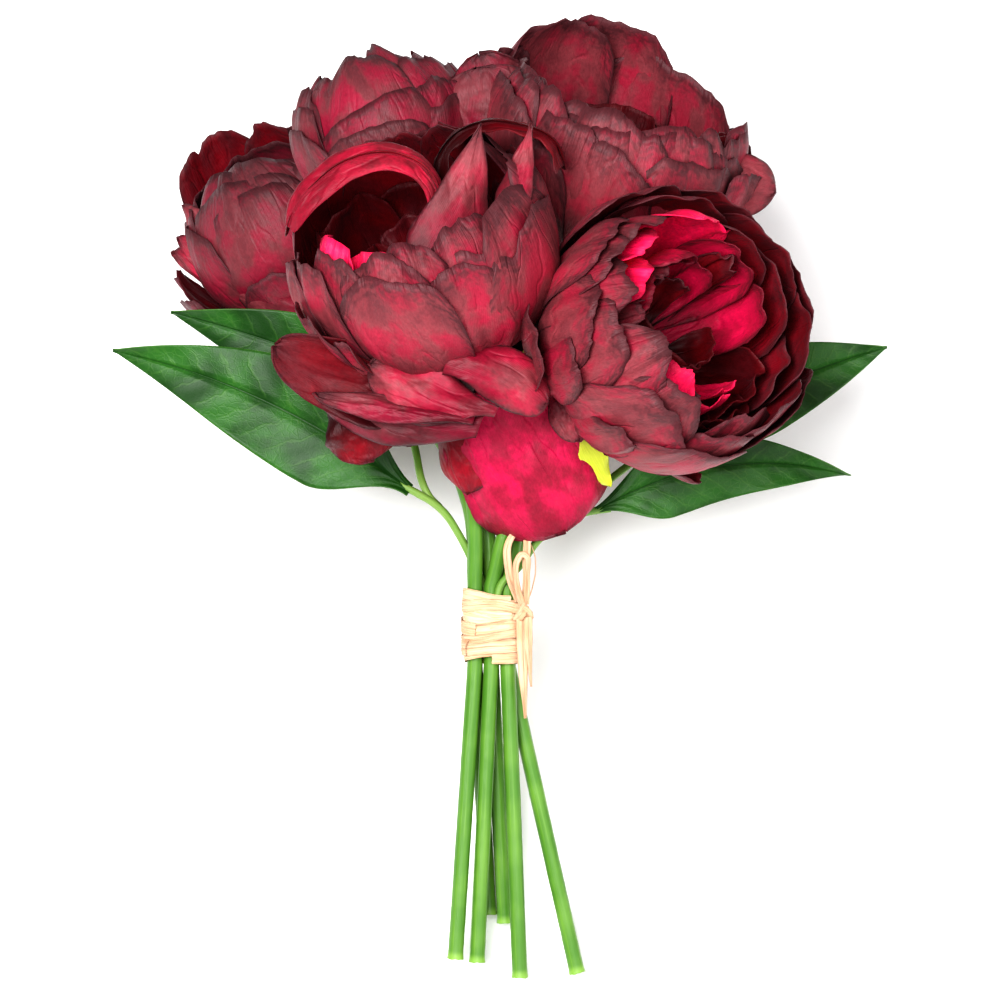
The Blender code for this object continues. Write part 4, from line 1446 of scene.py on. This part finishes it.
def outline_point(turn, grow):
    """A point on the stems' rounded outline at a share of a turn, and the way out of it."""
    half_width, half_depth = (value + grow for value in TIE_HALF)
    corner = TIE_CORNER + grow
    straight_x, straight_z = half_width - corner, half_depth - corner
    lengths = [2 * straight_x, corner * math.pi / 2, 2 * straight_z, corner * math.pi / 2] * 2
    distance = (turn % 1.0) * sum(lengths)
    side = 0
    while distance > lengths[side] and side < 7:
        distance -= lengths[side]
        side += 1
    quarter = side // 2
    heading = math.radians(90 - 90 * quarter)
    centre_x = straight_x if quarter < 2 else -straight_x
    centre_z = -straight_z if quarter in (1, 2) else straight_z
    if side % 2:
        angle = heading - distance / corner
        out = (math.cos(angle), math.sin(angle))
        return (centre_x + corner * out[0], centre_z + corner * out[1]), out
    out = (math.cos(heading), math.sin(heading))
    run = distance - lengths[side]
    x = centre_x + corner * out[0] + math.sin(heading) * run
    z = centre_z + corner * out[1] - math.cos(heading) * run
    return (x, z), out


def wound_strip(name, first, last, turns, start_turn, grow, tilt_mm, width, seed):
    """A strip wound round the stems from height first to last, its path wandering a little."""
    points, facings = [], []
    steps = int(turns * STEPS_PER_TURN)
    for step in range(steps + 1):
        share = step / steps
        turn = start_turn + turns * share
        (x, z), out = outline_point(turn, grow + TURN_THICKNESS * turns * share)
        wander = tilt_mm * (math.sin(turn * math.tau + seed) + 0.25 * math.sin(turn * 17.0 + seed * 2.1))
        y = first + (last - first) * share + wander
        points.append((TIE_CENTRE.x + x, y, TIE_CENTRE.z + z))
        facings.append((out[0], 0.0, out[1]))
    return rod(
        name, points, raffia, "raffia", (), facings=facings, radius=width / 2, flatness=0.055,
        sides=36, spacing=0.8, creases=0.16, crease_count=9.0, seed=seed, bumps=0.15,
    )


wound_strip("raffia_wrap_low", 104.5, 108.5, 2.0, 0.1, 0.25, 0.9, 8.6, 1)
band = wound_strip("raffia_wrap_middle", 110.0, 115.0, 2.0, 0.4, 0.45, -0.9, 9.0, 2)
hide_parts("raffia_band")
# Each wrap has its first and last height, turns, first turn, distance out, tilt, width and seed.
WRAPS_OVER_IT = {
    "high": (116.5, 120.5, 2.0, 0.2, 0.65, 1.6, 8.0, 3),
    "fine": (117.0, 119.0, 1.0, 0.3, 1.1, -1.8, 3.6, 5),
    "cross": (106.0, 114.0, 1.2, 0.8, 1.2, 2.0, 4.2, 4),
    "narrow": (111.0, 108.0, 1.1, 0.5, 1.3, 1.6, 2.6, 6),
}
for title, numbers in WRAPS_OVER_IT.items():
    wound_strip(f"raffia_wrap_{title}", *numbers)
print("raffia wraps:", 2 + len(WRAPS_OVER_IT))

# %% Knot, loops, tails and stray fibres
LOOP = [
    (-1.0, 3.7, 0.0), (-4.0, 14.0, 2.6), (-3.2, 24.0, 3.0), (-0.2, 26.0, 3.0), (1.6, 16.0, 2.2),
    (1.0, 3.7, 0.0),
]
SMALL_LOOP = [(x * 0.6 + 1.0, y * 0.72, z + 0.9) for x, y, z in LOOP]
TAIL = [(0.2, -2.0, 0.6), (0.6, -18.0, 0.2), (1.4, -34.0, -1.2)]
SECOND_TAIL = [(x + 1.9, y * 0.7, z + 0.5) for x, y, z in TAIL]
KNOT = [(-2.6, 1.4, -0.8), (0.0, 0.9, 1.2), (2.3, -1.4, 0.2), (0.4, -2.2, -0.9)]
HIGH_FIBRE = [(0.5, 0.5, 0.8), (3.6, 8.0, 2.0), (4.6, 17.0, 2.4), (3.2, 22.0, 2.0)]
# Each strand has its route from the knot, width, flatness, seed, and how far its end narrows.
STRANDS = {
    "raffia_loop": (LOOP, 2.6, 0.14, 2, 0.1),
    "raffia_loop_small": (SMALL_LOOP, 2.2, 0.14, 5, 0.1),
    "raffia_loop_end": ([(0.6, 1.0, 0.6), (-2.4, 9.0, 1.6), (-3.4, 19.0, 1.0)], 1.6, 0.2, 6, 0.8),
    "raffia_tail": (TAIL, 3.8, 0.12, 3, 0.7),
    "raffia_tail_second": (SECOND_TAIL, 3.0, 0.13, 4, 0.8),
    "raffia_fibre_high": (HIGH_FIBRE, 0.35, 0.8, 8, 0.5),
    "raffia_fibre_low": ([(-15.0, -7.0, 0.0), (-17.5, -10.0, 0.5), (-17.6, -14.0, 0.2)], 0.35, 0.8, 11, 0.5),
    "raffia_knot": (KNOT, 3.6, 0.4, 7, 0.0),
    "raffia_knot_over": ([(-1.6, -2.6, 0.2), (0.2, -0.4, 1.9), (1.7, 2.4, 0.4)], 3.0, 0.35, 9, 0.0),
}
STRAND_FACING = Vector((0.3, 0, 1))
STRAND_SWAY = 0.5
for name, (offsets, width, flatness, seed, taper) in STRANDS.items():
    points = smooth_path([tuple(KNOT_CENTRE + Vector(offset)) for offset in offsets])
    last = len(points) - 1
    sways = [math.sin(number * 0.25 + seed) * STRAND_SWAY for number in range(last + 1)]
    rod(
        name, points, raffia, "raffia", [name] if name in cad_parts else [],
        facings=[tuple(STRAND_FACING + Vector((sway, 0, 0))) for sway in sways],
        girths=[1.0 - taper * (number / last) ** 2 for number in range(last + 1)], radius=width / 2,
        flatness=flatness, sides=20, spacing=0.8, creases=0.07, crease_count=5.0, seed=seed,
    )
print("raffia strands:", len(STRANDS))
